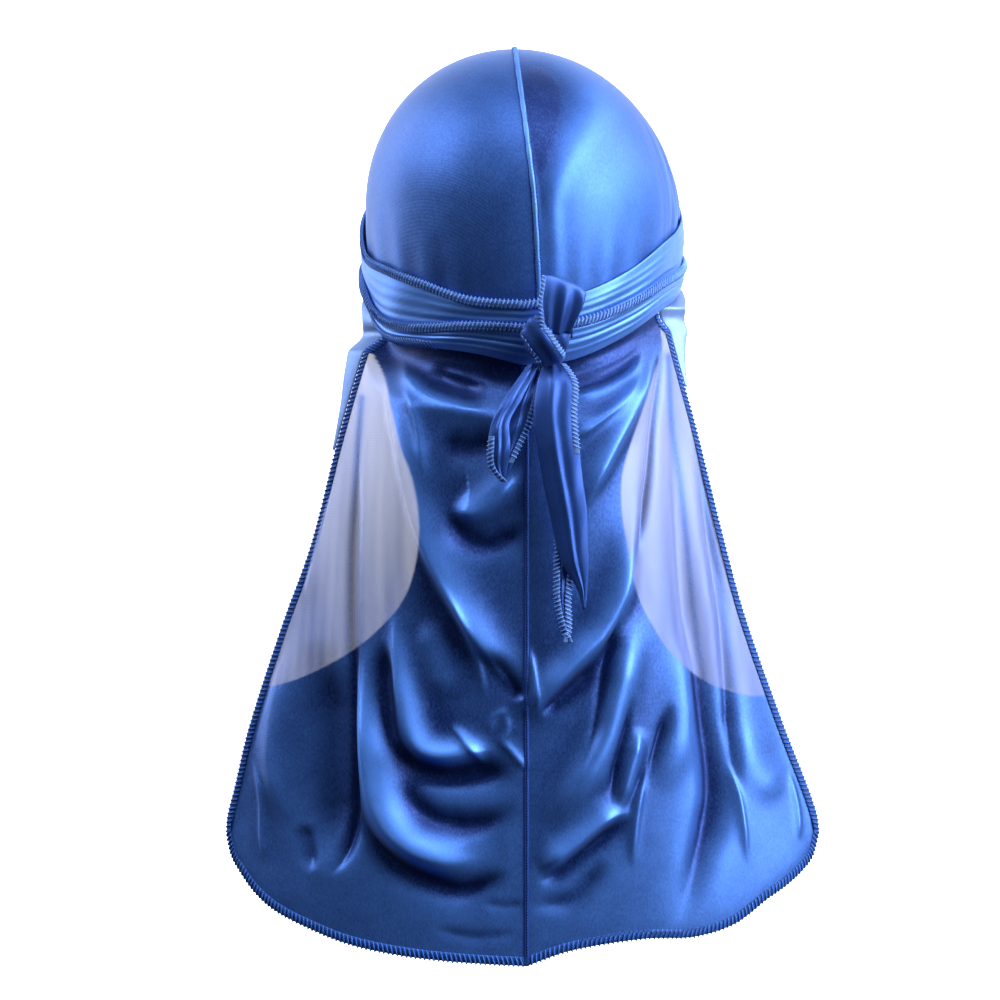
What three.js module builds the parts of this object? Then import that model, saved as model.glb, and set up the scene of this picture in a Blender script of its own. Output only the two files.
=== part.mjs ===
import * as THREE from 'three';
import { mergeVertices } from 'three/addons/utils/BufferGeometryUtils.js';

// A satin tie-on durag as it is worn: a two-panel cap, two wraps of strap knotted at the back,
// the strap ends hanging from the knot, and a long two-panel flap.
// Millimetres. +Z is up, +Y is the wearer's front, +X the wearer's right.
// The origin is the vertex of the head, at the inside of the crown.

// Head that the cap is fitted to
const HEAD_HALF_WIDTH = 80;
const HEAD_BACK_REACH = 95;
const HEAD_FRONT_REACH = 93;
const CROWN_DEPTH = 84;
const NAPE_DEPTH = 160;
const NAPE_TAPER = 0.15;
const FRONT_NARROWING = 0.07;
const CROWN_LEAN = -4;
const SEAM_DRIFT = 6;

// Cloth, and the clearance between pieces
const CLOTH = 1.0;
const GAP = 0.3;
const SEAM_HEIGHT = 0.9;
const SEAM_HALF_WIDTH = 1.8;
const HEM_WIDTH = 4.6;
const HEM_THICKNESS = 2.2;
const HEM_FULL_ROW = 2;

// Straps: depths below the vertex of the upper wrap's top edge, and how far each wrap shows
const BAND_BACK_DEPTH = 135;
const BAND_FRONT_DEPTH = 48;
const UPPER_SHOW = 40;
const LOWER_SHOW = 28;
const STRAP_UNDERLAP = 8;
const STRAP_CROWN = 0.8;
const CAP_TUCK = 9;
const SEAM_TUCK = 4;

// Flap
const FLAP_TUCK = 8;
const FLAP_TURN_LEFT = 72;
const FLAP_TURN_RIGHT = 66;
const FLAP_HALF_WIDTH = 149.5;
const FLAP_CORNER_DEPTH = 400;
const FLAP_BOTTOM_DEPTH = 460;
const FLAP_BACK = 98;
const FLAP_WRAP = 57;
const FLAP_RELEASE = 30;
const FLAP_SIDE_RELEASE = 12;
const FLAP_SEAM_X = 1.5;

// Folds: the frame that the fold table is drawn in, and the height and width of one full fold
const FOLD_TOP_DEPTH = 140;
const FOLD_HEIGHT = 10;
const FOLD_WIDTH = 14;
const FOLD_STEPS = 24;
const FOLD_END_RATE = 3;
const FOLD_END_SHARE = 0.25;

// Cloth that shows outside the hem: it leaves the straps at the side of the head and runs into
// the hem lower down
const GUSSET_TURN = 110;
const GUSSET_END_LEFT = 207;
const GUSSET_END_RIGHT = 175;
const GUSSET_FLARE = 9;
const GUSSET_FORWARD = 6;
const GUSSET_STRAP_ROWS = 5;
const GUSSET_HEM_ROWS = 6;

// Knot
const KNOT_TURN = 9.5;
const KNOT_DEPTH = 150;
const KNOT_HALF_WIDTH = 12;
const KNOT_HALF_DEPTH = 9.5;
const KNOT_HALF_HEIGHT = 13;
const WRAP_CLOTH = 1.8;
const WRAP_TILT = 52;
const WRAP_LEAN = -20;
const WRAP_HALF_ANGLE = 24;
const WRAP_START = 18;
const WRAP_END = 148;
const LOOP_HEIGHT = 17;
const LOOP_HALF_WIDTH = 12;
const LOOP_BULGE = 9;
const LOOP_SHIFT = 2;
const LOOP_FOOT_SHARE = 0.98;
const LOOP_CLOSING_SHARE = 0.9;
const LOOP_FOOT_WIDTH_SHARE = 0.7;
const LOOP_WIDENING_RATE = 3;
const LOOP_FOOT_DEPTH_SHARE = 0.85;
const LOOP_TOP_DEPTH_SHARE = 0.4;
const LOOP_TOP_BULGE_SHARE = 0.5;

// Strap ends that hang from the knot
const TAIL_CLOTH = 1.2;
const LONG_TAIL_DROP = 120;
const LONG_TAIL_HALF_WIDTH = 11;
const LONG_END_DROP = 52;
const LONG_END_START_SHARE = 0.7;
const LONG_END_HALF_WIDTH = 5;
const SHORT_TAIL_DROP = 58;
const SHORT_TAIL_HALF_WIDTH = 8;
const TAIL_HANG = 12;
const TAIL_BOW_SHARE = 0.25;
const LONG_LAYER_STEP = 3.2;
const SHORT_LAYER_STEP = 2.6;

// Wraps of strap, from the back of the head round to the front.
// turn is in degrees from the back; rise is the share of the way from the back depth to the
// front depth; upper and lower are shares of how far each wrap shows.
const STRAP_ROWS = [
  { turn: 0, riseLeft: 0.0, riseRight: 0.0, upperLeft: 0.28, upperRight: 0.28,
    lowerLeft: 0.71, lowerRight: 0.71 },
  { turn: 20, riseLeft: 0.03, riseRight: 0.045, upperLeft: 0.31, upperRight: 0.31,
    lowerLeft: 0.54, lowerRight: 0.7 },
  { turn: 40, riseLeft: 0.137, riseRight: 0.183, upperLeft: 0.55, upperRight: 0.38,
    lowerLeft: 0.4, lowerRight: 0.64 },
  { turn: 60, riseLeft: 0.24, riseRight: 0.37, upperLeft: 0.68, upperRight: 0.45,
    lowerLeft: 0.4, lowerRight: 0.6 },
  { turn: 72, riseLeft: 0.3, riseRight: 0.455, upperLeft: 0.62, upperRight: 0.5,
    lowerLeft: 0.38, lowerRight: 0.57 },
  { turn: 80, riseLeft: 0.36, riseRight: 0.52, upperLeft: 0.48, upperRight: 0.55,
    lowerLeft: 0.28, lowerRight: 0.55 },
  { turn: 95, riseLeft: 0.566, riseRight: 0.62, upperLeft: 0.6, upperRight: 0.6,
    lowerLeft: 0.5, lowerRight: 0.57 },
  { turn: 120, riseLeft: 0.79, riseRight: 0.815, upperLeft: 0.8, upperRight: 0.7,
    lowerLeft: 0.8, lowerRight: 0.79 },
  { turn: 150, riseLeft: 0.943, riseRight: 0.954, upperLeft: 0.83, upperRight: 0.76,
    lowerLeft: 0.96, lowerRight: 0.93 },
  { turn: 180, riseLeft: 1.0, riseRight: 1.0, upperLeft: 0.75, upperRight: 0.75,
    lowerLeft: 1.0, lowerRight: 1.0 },
];

// Flap, from its top edge down to its corners. left and right are shares of the half width,
// back is the share of the reach behind the ear line, wrap of how far the sides come forward.
const FLAP_ROWS = [
  { down: 0.0, left: 0.495, right: 0.465, back: 0.88, wrap: 1.0 },
  { down: 0.1, left: 0.55, right: 0.51, back: 0.93, wrap: 0.95 },
  { down: 0.25, left: 0.625, right: 0.585, back: 0.955, wrap: 0.9 },
  { down: 0.45, left: 0.715, right: 0.675, back: 0.965, wrap: 0.85 },
  { down: 0.6, left: 0.81, right: 0.75, back: 0.97, wrap: 0.85 },
  { down: 0.8, left: 0.925, right: 0.88, back: 0.985, wrap: 0.9 },
  { down: 0.92, left: 0.976, right: 0.966, back: 0.994, wrap: 0.93 },
  { down: 0.97, left: 0.998, right: 0.996, back: 0.998, wrap: 0.94 },
  { down: 1.0, left: 1.002, right: 1.003, back: 1.0, wrap: 0.95 },
];

// Cloth outside the hem, row by row from the front along the strap and then down the hem.
// left and right are shares of the flare.
const GUSSET_ROWS = [
  { left: 0.3, right: 0.35 },
  { left: 0.25, right: 0.45 },
  { left: 0.3, right: 0.55 },
  { left: 0.45, right: 0.75 },
  { left: 0.7, right: 1.05 },
  { left: 1.05, right: 1.35 },
  { left: 0.85, right: 1.05 },
  { left: 0.58, right: 0.71 },
  { left: 0.38, right: 0.4 },
  { left: 0.23, right: 0.25 },
  { left: 0.1, right: 0.1 },
];

// Lower hem, from the middle seam across to the corner. left and right are shares of the drop
// from the corner to the lowest place.
const FOOT_ROWS = [
  { across: 0.0, left: 1.0, right: 1.0 },
  { across: 0.1, left: 0.985, right: 0.89 },
  { across: 0.2, left: 0.965, right: 0.83 },
  { across: 0.325, left: 0.925, right: 0.79 },
  { across: 0.465, left: 0.85, right: 0.79 },
  { across: 0.6, left: 0.73, right: 0.7 },
  { across: 0.72, left: 0.61, right: 0.52 },
  { across: 0.805, left: 0.49, right: 0.42 },
  { across: 0.895, left: 0.32, right: 0.3 },
  { across: 0.96, left: 0.18, right: 0.18 },
  { across: 1.0, left: 0.0, right: 0.0 },
];

// Folds of the flap, each from a start by a bend to an end. x is a share of the half width,
// z a share of the drop, width and height shares of one full fold; a trough has a height
// below nought.
const FOLD_ROWS = [
  // swag under the left strap
  { x0: -0.42, z0: 0.05, x1: -0.36, z1: 0.16, x2: -0.1, z2: 0.155, width: 0.7, height: 0.55 },
  // swag behind the short end
  { x0: -0.36, z0: 0.25, x1: -0.19, z1: 0.34, x2: -0.04, z2: 0.25, width: 1.0, height: 0.5 },
  // left side of the broad V
  { x0: -0.3, z0: 0.36, x1: -0.2, z1: 0.49, x2: 0.02, z2: 0.55, width: 0.9, height: 0.8 },
  // ridge beside the V, running down to the small wedges
  { x0: -0.3, z0: 0.42, x1: -0.16, z1: 0.52, x2: -0.1, z2: 0.66, width: 0.45, height: 0.5 },
  // nested U left of centre
  { x0: -0.41, z0: 0.46, x1: -0.42, z1: 0.7, x2: -0.2, z2: 0.69, width: 0.6, height: 0.6 },
  // long fold down to the lower U
  { x0: -0.54, z0: 0.54, x1: -0.47, z1: 0.76, x2: -0.32, z2: 0.85, width: 0.9, height: 0.9 },
  // lower U
  { x0: -0.4, z0: 0.8, x1: -0.2, z1: 0.92, x2: -0.02, z2: 0.82, width: 0.8, height: 0.7 },
  // upright fold near the left hem
  { x0: -0.78, z0: 0.52, x1: -0.88, z1: 0.7, x2: -0.78, z2: 0.85, width: 1.1, height: 0.8 },
  // hollow between the upright fold and the long fold
  { x0: -0.6, z0: 0.4, x1: -0.56, z1: 0.68, x2: -0.62, z2: 0.9, width: 1.2, height: -0.8 },
  // folds that fan from the right strap
  { x0: 0.4, z0: 0.05, x1: 0.3, z1: 0.13, x2: 0.14, z2: 0.21, width: 0.6, height: 0.5 },
  { x0: 0.44, z0: 0.07, x1: 0.28, z1: 0.2, x2: 0.2, z2: 0.38, width: 0.7, height: 0.5 },
  { x0: 0.4, z0: 0.18, x1: 0.3, z1: 0.4, x2: 0.07, z2: 0.6, width: 0.8, height: 0.7 },
  // right side of the broad V
  { x0: 0.3, z0: 0.44, x1: 0.16, z1: 0.58, x2: 0.03, z2: 0.61, width: 0.7, height: 0.7 },
  // long shine right of centre
  { x0: 0.37, z0: 0.36, x1: 0.28, z1: 0.56, x2: 0.15, z2: 0.76, width: 0.9, height: 0.7 },
  // swag above the hem right of centre
  { x0: 0.04, z0: 0.85, x1: 0.17, z1: 0.86, x2: 0.4, z2: 0.72, width: 0.8, height: 0.7 },
  // upright hollows and folds near the right hem
  { x0: 0.55, z0: 0.36, x1: 0.64, z1: 0.62, x2: 0.62, z2: 0.88, width: 1.1, height: -0.8 },
  { x0: 0.48, z0: 0.4, x1: 0.5, z1: 0.66, x2: 0.4, z2: 0.88, width: 0.9, height: 0.7 },
  { x0: 0.7, z0: 0.45, x1: 0.76, z1: 0.68, x2: 0.76, z2: 0.86, width: 0.8, height: 0.7 },
];

// Strap ends: centre and half width are shares of the end's own half width and out is a share
// of how far it hangs clear of the flap; down is the share of its drop.
const LONG_TAIL_ROWS = [
  { down: 0.0, centre: 0.4, half: 0.5, out: 0.0 },
  { down: 0.08, centre: 0.5, half: 0.9, out: 0.5 },
  { down: 0.22, centre: 0.4, half: 0.95, out: 0.9 },
  { down: 0.45, centre: 0.7, half: 0.9, out: 1.0 },
  { down: 0.62, centre: 1.0, half: 0.82, out: 1.0 },
  { down: 0.8, centre: 1.25, half: 0.62, out: 1.0 },
  { down: 0.92, centre: 1.6, half: 0.22, out: 1.0 },
  { down: 1.0, centre: 1.68, half: 0.06, out: 1.0 },
];
const LONG_END_ROWS = [
  { down: 0.0, centre: 1.9, half: 1.0, out: 1.0 },
  { down: 0.3, centre: 1.75, half: 0.95, out: 1.0 },
  { down: 0.6, centre: 1.6, half: 0.8, out: 1.08 },
  { down: 0.85, centre: 1.9, half: 0.55, out: 1.16 },
  { down: 1.0, centre: 2.1, half: 0.1, out: 1.18 },
];
const SHORT_TAIL_ROWS = [
  { down: 0.0, centre: -0.7, half: 0.35, out: 0.0 },
  { down: 0.3, centre: -2.0, half: 0.55, out: 0.6 },
  { down: 0.5, centre: -2.75, half: 0.55, out: 0.9 },
  { down: 0.7, centre: -2.85, half: 0.68, out: 1.0 },
  { down: 0.88, centre: -2.9, half: 0.55, out: 0.9 },
  { down: 1.0, centre: -2.6, half: 0.12, out: 0.8 },
];
const SHORT_END_ROWS = [
  { down: 0.0, centre: -0.3, half: 0.3, out: 0.0 },
  { down: 0.3, centre: -1.2, half: 0.75, out: 0.55 },
  { down: 0.55, centre: -1.75, half: 0.75, out: 0.7 },
  { down: 0.8, centre: -2.3, half: 0.45, out: 0.75 },
  { down: 1.0, centre: -2.6, half: 0.15, out: 0.75 },
];

// How finely each form is divided
const CAP_STEPS_ROUND = 20;
const CAP_STEPS_DOWN = 12;
const SEAM_STEPS = 15;
const STRAP_STEPS_ROUND = 46;
const STRAP_STEPS_ACROSS = 4;
const FLAP_STEPS_ACROSS = 18;
const FLAP_STEPS_DOWN = 26;
const TAIL_STEPS_ACROSS = 4;
const TAIL_STEPS_DOWN = 12;
const CORE_STEPS_ROUND = 16;
const CORE_STEPS_DOWN = 12;
const WRAP_STEPS_ACROSS = 4;
const WRAP_STEPS_ALONG = 12;
const LOOP_STEPS = 8;

// How rows crowd together at the crown, and how columns of the flap crowd together at the hem
const CROWN_SPACING_POWER = 1.5;
const HEM_CROWDING = 0.5;

const HALF_TURN = Math.PI;
const SMALL_TURN = 0.01;
const MERGE_DISTANCE = 1e-4;
const radians = (degrees) => (degrees * Math.PI) / 180;
const mix = (a, b, t) => a + (b - a) * t;
const clamp01 = (t) => Math.min(Math.max(t, 0), 1);
const smooth = (t) => clamp01(t) ** 2 * (3 - 2 * clamp01(t));

// Smooth curve through one column of a table
function column(rows, key, name) {
  const slope = (i) => {
    const before = rows[Math.max(i - 1, 0)];
    const after = rows[Math.min(i + 1, rows.length - 1)];
    return (after[name] - before[name]) / (after[key] - before[key]);
  };
  return (at) => {
    let i = 0;
    while (i < rows.length - 2 && at > rows[i + 1][key]) i += 1;
    const length = rows[i + 1][key] - rows[i][key];
    const t = clamp01((at - rows[i][key]) / length);
    const t2 = t * t;
    const t3 = t2 * t;
    return (
      (2 * t3 - 3 * t2 + 1) * rows[i][name] +
      (t3 - 2 * t2 + t) * length * slope(i) +
      (3 * t2 - 2 * t3) * rows[i + 1][name] +
      (t3 - t2) * length * slope(i + 1)
    );
  };
}

// A point at an angle from the back of the head, a depth below the vertex and an offset
// outside the head
function onHead(turn, depth, offset) {
  const rise = 1 - Math.min(depth / CROWN_DEPTH, 1);
  const spread = Math.sqrt(1 - rise * rise);
  const below = Math.max(depth - CROWN_DEPTH, 0) / (NAPE_DEPTH - CROWN_DEPTH);
  const taper = 1 - NAPE_TAPER * below * below;
  const facing = Math.cos(turn);
  const reach = facing > 0 ? HEAD_BACK_REACH : HEAD_FRONT_REACH;
  const narrowing = 1 - FRONT_NARROWING * Math.min(facing, 0) ** 2;
  return new THREE.Vector3(
    (HEAD_HALF_WIDTH * narrowing * taper + offset) * spread * Math.sin(turn) + CROWN_LEAN * rise,
    -(reach * taper + offset) * spread * facing,
    offset * rise - depth,
  );
}

// Depths of the three strap edges that show, at an angle from the back
const strapColumns = {};
for (const name of Object.keys(STRAP_ROWS[0]).filter((key) => key !== 'turn')) {
  strapColumns[name] = column(STRAP_ROWS, 'turn', name);
}
function strapEdges(turn) {
  const side = turn < 0 ? 'Left' : 'Right';
  const degrees = (Math.abs(turn) * 180) / Math.PI;
  const top = mix(BAND_BACK_DEPTH, BAND_FRONT_DEPTH, strapColumns[`rise${side}`](degrees));
  const middle = top + UPPER_SHOW * strapColumns[`upper${side}`](degrees);
  const bottom = middle + LOWER_SHOW * strapColumns[`lower${side}`](degrees);
  return { top, middle, bottom };
}

// Layers of cloth, as offsets outside the head
const CAP_OUTSIDE = CLOTH;
const FLAP_INSIDE = CAP_OUTSIDE + GAP;
const UPPER_STRAP_INSIDE = CAP_OUTSIDE + GAP + Math.max(SEAM_HEIGHT, CLOTH) + GAP;
const LOWER_STRAP_INSIDE = UPPER_STRAP_INSIDE + CLOTH + STRAP_CROWN + GAP;
const STRAPS_OUTSIDE = LOWER_STRAP_INSIDE + CLOTH + STRAP_CROWN;

// Closed solid from two grids of points that lie a wall apart; a ring joins its first and
// last column
function wallSolid(outer, inner, ring = false) {
  const rows = outer.length;
  const columns = outer[0].length;
  const points = [];
  const triangles = [];
  const index = (layer, row, col) => (layer * rows + row) * columns + col;
  for (const layer of [outer, inner]) {
    for (const row of layer) {
      for (const point of row) points.push(point.x, point.y, point.z);
    }
  }
  const quad = (a, b, c, d) => triangles.push([a, b, c], [a, c, d]);
  for (let r = 0; r < rows - 1; r += 1) {
    for (let c = 0; c < columns - 1; c += 1) {
      quad(index(0, r, c), index(0, r + 1, c), index(0, r + 1, c + 1), index(0, r, c + 1));
      quad(index(1, r, c), index(1, r, c + 1), index(1, r + 1, c + 1), index(1, r + 1, c));
    }
  }
  for (let c = 0; c < columns - 1; c += 1) {
    quad(index(0, 0, c), index(0, 0, c + 1), index(1, 0, c + 1), index(1, 0, c));
    const end = rows - 1;
    quad(index(0, end, c), index(1, end, c), index(1, end, c + 1), index(0, end, c + 1));
  }
  for (let r = 0; r < rows - 1 && !ring; r += 1) {
    quad(index(0, r, 0), index(1, r, 0), index(1, r + 1, 0), index(0, r + 1, 0));
    const side = columns - 1;
    quad(index(0, r, side), index(0, r + 1, side), index(1, r + 1, side), index(1, r, side));
  }
  return closedGeometry(points, triangles);
}

// Closed solid from sections of the same number of points, capped at both ends
function sectionSolid(sections) {
  const sides = sections[0].length;
  const points = [];
  const triangles = [];
  for (const section of sections) {
    for (const point of section) points.push(point.x, point.y, point.z);
  }
  for (let s = 0; s < sections.length - 1; s += 1) {
    for (let k = 0; k < sides; k += 1) {
      const next = (k + 1) % sides;
      const a = s * sides + k;
      const b = s * sides + next;
      triangles.push([a, b, b + sides], [a, b + sides, a + sides]);
    }
  }
  const last = (sections.length - 1) * sides;
  for (let k = 1; k < sides - 1; k += 1) {
    triangles.push([0, k + 1, k], [last, last + k, last + k + 1]);
  }
  return closedGeometry(points, triangles);
}

// Geometry with its shared points merged, flat triangles dropped and its faces pointing out
function closedGeometry(points, triangles) {
  let geometry = new THREE.BufferGeometry();
  geometry.setAttribute('position', new THREE.Float32BufferAttribute(points, 3));
  geometry.setIndex(triangles.flat());
  geometry = mergeVertices(geometry, MERGE_DISTANCE);
  const position = geometry.getAttribute('position');
  const merged = geometry.getIndex().array;
  const kept = [];
  let volume = 0;
  const corner = (i) => new THREE.Vector3().fromBufferAttribute(position, i);
  for (let i = 0; i < merged.length; i += 3) {
    const [a, b, c] = [merged[i], merged[i + 1], merged[i + 2]];
    if (a === b || b === c || c === a) continue;
    kept.push([a, b, c]);
    volume += corner(a).dot(corner(b).cross(corner(c)));
  }
  if (volume < 0) kept.forEach((triangle) => triangle.reverse());
  geometry.setIndex(kept.flat());
  geometry.computeVertexNormals();
  return geometry;
}

// Unit normals of a grid of points, pointing away from the head
function gridNormals(grid) {
  return grid.map((row, r) =>
    row.map((point, c) => {
      const above = grid[Math.max(r - 1, 0)][c];
      const below = grid[Math.min(r + 1, grid.length - 1)][c];
      const before = row[Math.max(c - 1, 0)];
      const after = row[Math.min(c + 1, row.length - 1)];
      const normal = new THREE.Vector3().subVectors(below, above);
      normal.cross(new THREE.Vector3().subVectors(after, before)).normalize();
      const outward = new THREE.Vector3(point.x, point.y, 0);
      return normal.dot(outward) < 0 ? normal.negate() : normal;
    }),
  );
}

const lifted = (grid, normals, height) =>
  grid.map((row, r) => {
    return row.map((point, c) => point.clone().addScaledVector(normals[r][c], height));
  });

const SATIN_ROUGHNESS = 0.38;
const SATIN_METALNESS = 0.25;
const satin = (colour) =>
  new THREE.MeshStandardMaterial({
    color: colour,
    roughness: SATIN_ROUGHNESS,
    metalness: SATIN_METALNESS,
  });
const DOME_BLUE = 0x375fb9;
const FLAP_BLUE = 0x234ba5;
const STRAP_BLUE = 0x6ea0e1;
const HEM_BLUE = 0x3c6ec8;

const durag = new THREE.Group();
function addPiece(name, geometry, colour) {
  const mesh = new THREE.Mesh(geometry, satin(colour));
  mesh.name = name;
  durag.add(mesh);
}

// Cap: two panels that meet at the middle seam
const seamTurn = (depth) => radians(SEAM_DRIFT) * (depth / BAND_BACK_DEPTH);
function capPanel(side) {
  const outer = [];
  const inner = [];
  for (let r = 0; r <= CAP_STEPS_DOWN; r += 1) {
    const outerRow = [];
    const innerRow = [];
    for (let c = 0; c <= CAP_STEPS_ROUND; c += 1) {
      const round = c / CAP_STEPS_ROUND;
      const edgeTurn = mix(seamTurn(BAND_BACK_DEPTH), side * HALF_TURN, round);
      const edge = strapEdges(edgeTurn).bottom - CAP_TUCK;
      const depth = edge * (r / CAP_STEPS_DOWN) ** CROWN_SPACING_POWER;
      const turn = mix(seamTurn(depth), side * HALF_TURN, round);
      const shift = new THREE.Vector3((side * GAP) / 2, 0, 0);
      outerRow.push(onHead(turn, depth, CAP_OUTSIDE).add(shift));
      innerRow.push(onHead(turn, depth, 0).add(shift));
    }
    outer.push(outerRow);
    inner.push(innerRow);
  }
  return wallSolid(outer, inner);
}
addPiece('cap_left_panel', capPanel(-1), DOME_BLUE);
addPiece('cap_right_panel', capPanel(1), DOME_BLUE);

// Raised middle seam of the cap, from under the straps at the back to under them at the front
function capSeam() {
  const backEnd = strapEdges(0).top + SEAM_TUCK;
  const frontEnd = strapEdges(HALF_TURN).top + SEAM_TUCK;
  const line = [];
  for (let i = 0; i < SEAM_STEPS; i += 1) {
    const depth = backEnd * (1 - i / SEAM_STEPS) ** CROWN_SPACING_POWER;
    line.push([seamTurn(depth), depth]);
  }
  for (let i = 0; i <= SEAM_STEPS; i += 1) {
    line.push([HALF_TURN, frontEnd * (i / SEAM_STEPS) ** CROWN_SPACING_POWER]);
  }
  const across = (offset, crown) =>
    line.map(([turn, depth]) =>
      [-1, 0, 1].map((side) =>
        onHead(turn, depth, offset + (side === 0 ? crown : 0)).add(
          new THREE.Vector3(side * SEAM_HALF_WIDTH, 0, 0),
        ),
      ),
    );
  const inside = CAP_OUTSIDE + GAP;
  return wallSolid(across(inside + SEAM_HEIGHT / 2, SEAM_HEIGHT / 2), across(inside, 0));
}
addPiece('cap_seam', capSeam(), HEM_BLUE);

// Strap that goes once round the head, crowned across its width
function strapLoop(topOf, bottomOf, inside) {
  const outer = [];
  const inner = [];
  for (let r = 0; r <= STRAP_STEPS_ACROSS; r += 1) {
    const across = r / STRAP_STEPS_ACROSS;
    const crown = STRAP_CROWN * Math.sin(HALF_TURN * across);
    const outerRow = [];
    const innerRow = [];
    for (let c = 0; c <= STRAP_STEPS_ROUND; c += 1) {
      const turn = mix(-HALF_TURN, HALF_TURN, c / STRAP_STEPS_ROUND);
      const edges = strapEdges(turn);
      const depth = mix(topOf(edges), bottomOf(edges), across);
      outerRow.push(onHead(turn, depth, inside + CLOTH + crown));
      innerRow.push(onHead(turn, depth, inside));
    }
    outer.push(outerRow);
    inner.push(innerRow);
  }
  return wallSolid(outer, inner, true);
}
addPiece(
  'upper_strap_wrap',
  strapLoop((edges) => edges.top, (edges) => edges.middle + STRAP_UNDERLAP, UPPER_STRAP_INSIDE),
  STRAP_BLUE,
);
addPiece(
  'lower_strap_wrap',
  strapLoop((edges) => edges.middle, (edges) => edges.bottom, LOWER_STRAP_INSIDE),
  STRAP_BLUE,
);

// Height of the folds at a place on the flap
const foldLines = FOLD_ROWS.map((fold) => {
  const place = (x, z) => new THREE.Vector2(
    x * FLAP_HALF_WIDTH,
    -mix(FOLD_TOP_DEPTH, FLAP_BOTTOM_DEPTH, z),
  );
  const curve = new THREE.QuadraticBezierCurve(
    place(fold.x0, fold.z0),
    place(fold.x1, fold.z1),
    place(fold.x2, fold.z2),
  );
  const points = curve.getPoints(FOLD_STEPS);
  return { points, width: fold.width * FOLD_WIDTH, height: fold.height * FOLD_HEIGHT };
});
function foldHeight(x, z) {
  const here = new THREE.Vector2(x, z);
  let height = 0;
  for (const fold of foldLines) {
    const distances = fold.points.map((point) => point.distanceToSquared(here));
    const nearest = Math.min(...distances);
    const along = distances.indexOf(nearest) / FOLD_STEPS;
    const fade = smooth(FOLD_END_RATE * Math.min(along, 1 - along) + FOLD_END_SHARE);
    height += fold.height * fade * Math.exp(-nearest / fold.width ** 2);
  }
  return height;
}

// A point of the flap's inside: across runs from the middle seam to the hem, down from the top
// edge to the bottom edge
const flapColumns = {};
for (const name of ['left', 'right', 'back', 'wrap']) {
  flapColumns[name] = column(FLAP_ROWS, 'down', name);
}
const footColumns = {
  left: column(FOOT_ROWS, 'across', 'left'),
  right: column(FOOT_ROWS, 'across', 'right'),
};
function onFlap(side, across, down) {
  const turnLimit = radians(side < 0 ? FLAP_TURN_LEFT : FLAP_TURN_RIGHT);
  const turn = side * across * turnLimit;
  const edge = strapEdges(turn).bottom;
  const drop = footColumns[side < 0 ? 'left' : 'right'](across);
  const bottom = mix(FLAP_CORNER_DEPTH, FLAP_BOTTOM_DEPTH, drop);
  const depth = mix(edge - FLAP_TUCK, bottom, down);
  const spread = Math.sin(Math.abs(turn)) / Math.sin(turnLimit);
  const hem = side * FLAP_HALF_WIDTH * flapColumns[side < 0 ? 'left' : 'right'](down);
  const forward = (1 - Math.cos(turn)) / (1 - Math.cos(turnLimit));
  const free = new THREE.Vector3(
    mix(FLAP_SEAM_X, hem, spread),
    FLAP_WRAP * flapColumns.wrap(down) * forward - FLAP_BACK * flapColumns.back(down),
    -depth,
  );
  const below = depth - edge;
  const worn = onHead(turn, depth, FLAP_INSIDE);
  const release = mix(FLAP_RELEASE, FLAP_SIDE_RELEASE, across ** 4);
  const point = worn.lerp(free, smooth((below - 1) / release));
  const height = foldHeight(point.x, point.z) * smooth((below - 1) / FLAP_RELEASE);
  point.x += height * Math.sin(turn);
  point.y -= height * Math.cos(turn);
  return point;
}

// Grid of the flap's inside. Its first column is the seam's half width, its last column and
// row are the hem's width.
function flapGrid(side) {
  const seamShare = SEAM_HALF_WIDTH / FLAP_HALF_WIDTH;
  const hemShare = HEM_WIDTH / FLAP_HALF_WIDTH;
  const hemDown = HEM_WIDTH / (FLAP_BOTTOM_DEPTH - BAND_BACK_DEPTH);
  const grid = [];
  for (let r = 0; r <= FLAP_STEPS_DOWN; r += 1) {
    const down = r === FLAP_STEPS_DOWN ? 1 : (1 - hemDown) * (r / (FLAP_STEPS_DOWN - 1));
    const row = [];
    for (let c = 0; c <= FLAP_STEPS_ACROSS; c += 1) {
      const evenly = (c - 1) / (FLAP_STEPS_ACROSS - 2);
      const crowded = Math.sin((evenly * HALF_TURN) / 2);
      let across = mix(seamShare, 1 - hemShare, mix(evenly, crowded, HEM_CROWDING));
      if (c === 0) across = 0;
      if (c === FLAP_STEPS_ACROSS) across = 1;
      row.push(onFlap(side, across, down));
    }
    grid.push(row);
  }
  for (const row of grid) row[0].x += (side * GAP) / 2;
  return grid;
}

// Hem: a rounded band along the outer edge of the last column and row
function hemSolid(grid, normals) {
  const last = FLAP_STEPS_ACROSS;
  const end = FLAP_STEPS_DOWN;
  const stations = [];
  for (let r = 0; r < end; r += 1) stations.push([r, last - 1, r, last]);
  stations.push([end - 1, last - 1, end, last]);
  for (let c = last - 1; c >= 0; c -= 1) stations.push([end - 1, c, end, c]);
  const sections = stations.map(([innerRow, innerCol, outerRow, outerCol]) => {
    const outside = grid[outerRow][outerCol];
    const edge = grid[innerRow][innerCol];
    const start = edge.clone().lerp(outside, GAP / edge.distanceTo(outside));
    const middle = start.clone().add(outside).divideScalar(2);
    const normal = normals[innerRow][innerCol];
    const at = (point, height) => point.clone().addScaledVector(normal, height);
    const thick = mix(CLOTH, HEM_THICKNESS, clamp01(outerRow / HEM_FULL_ROW - 1));
    const low = (CLOTH - thick) / 2;
    const high = (CLOTH + thick) / 2;
    return [
      at(start, CLOTH), at(middle, high), at(outside, CLOTH),
      at(outside, 0), at(middle, low), at(start, 0),
    ];
  });
  return sectionSolid(sections);
}

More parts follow.
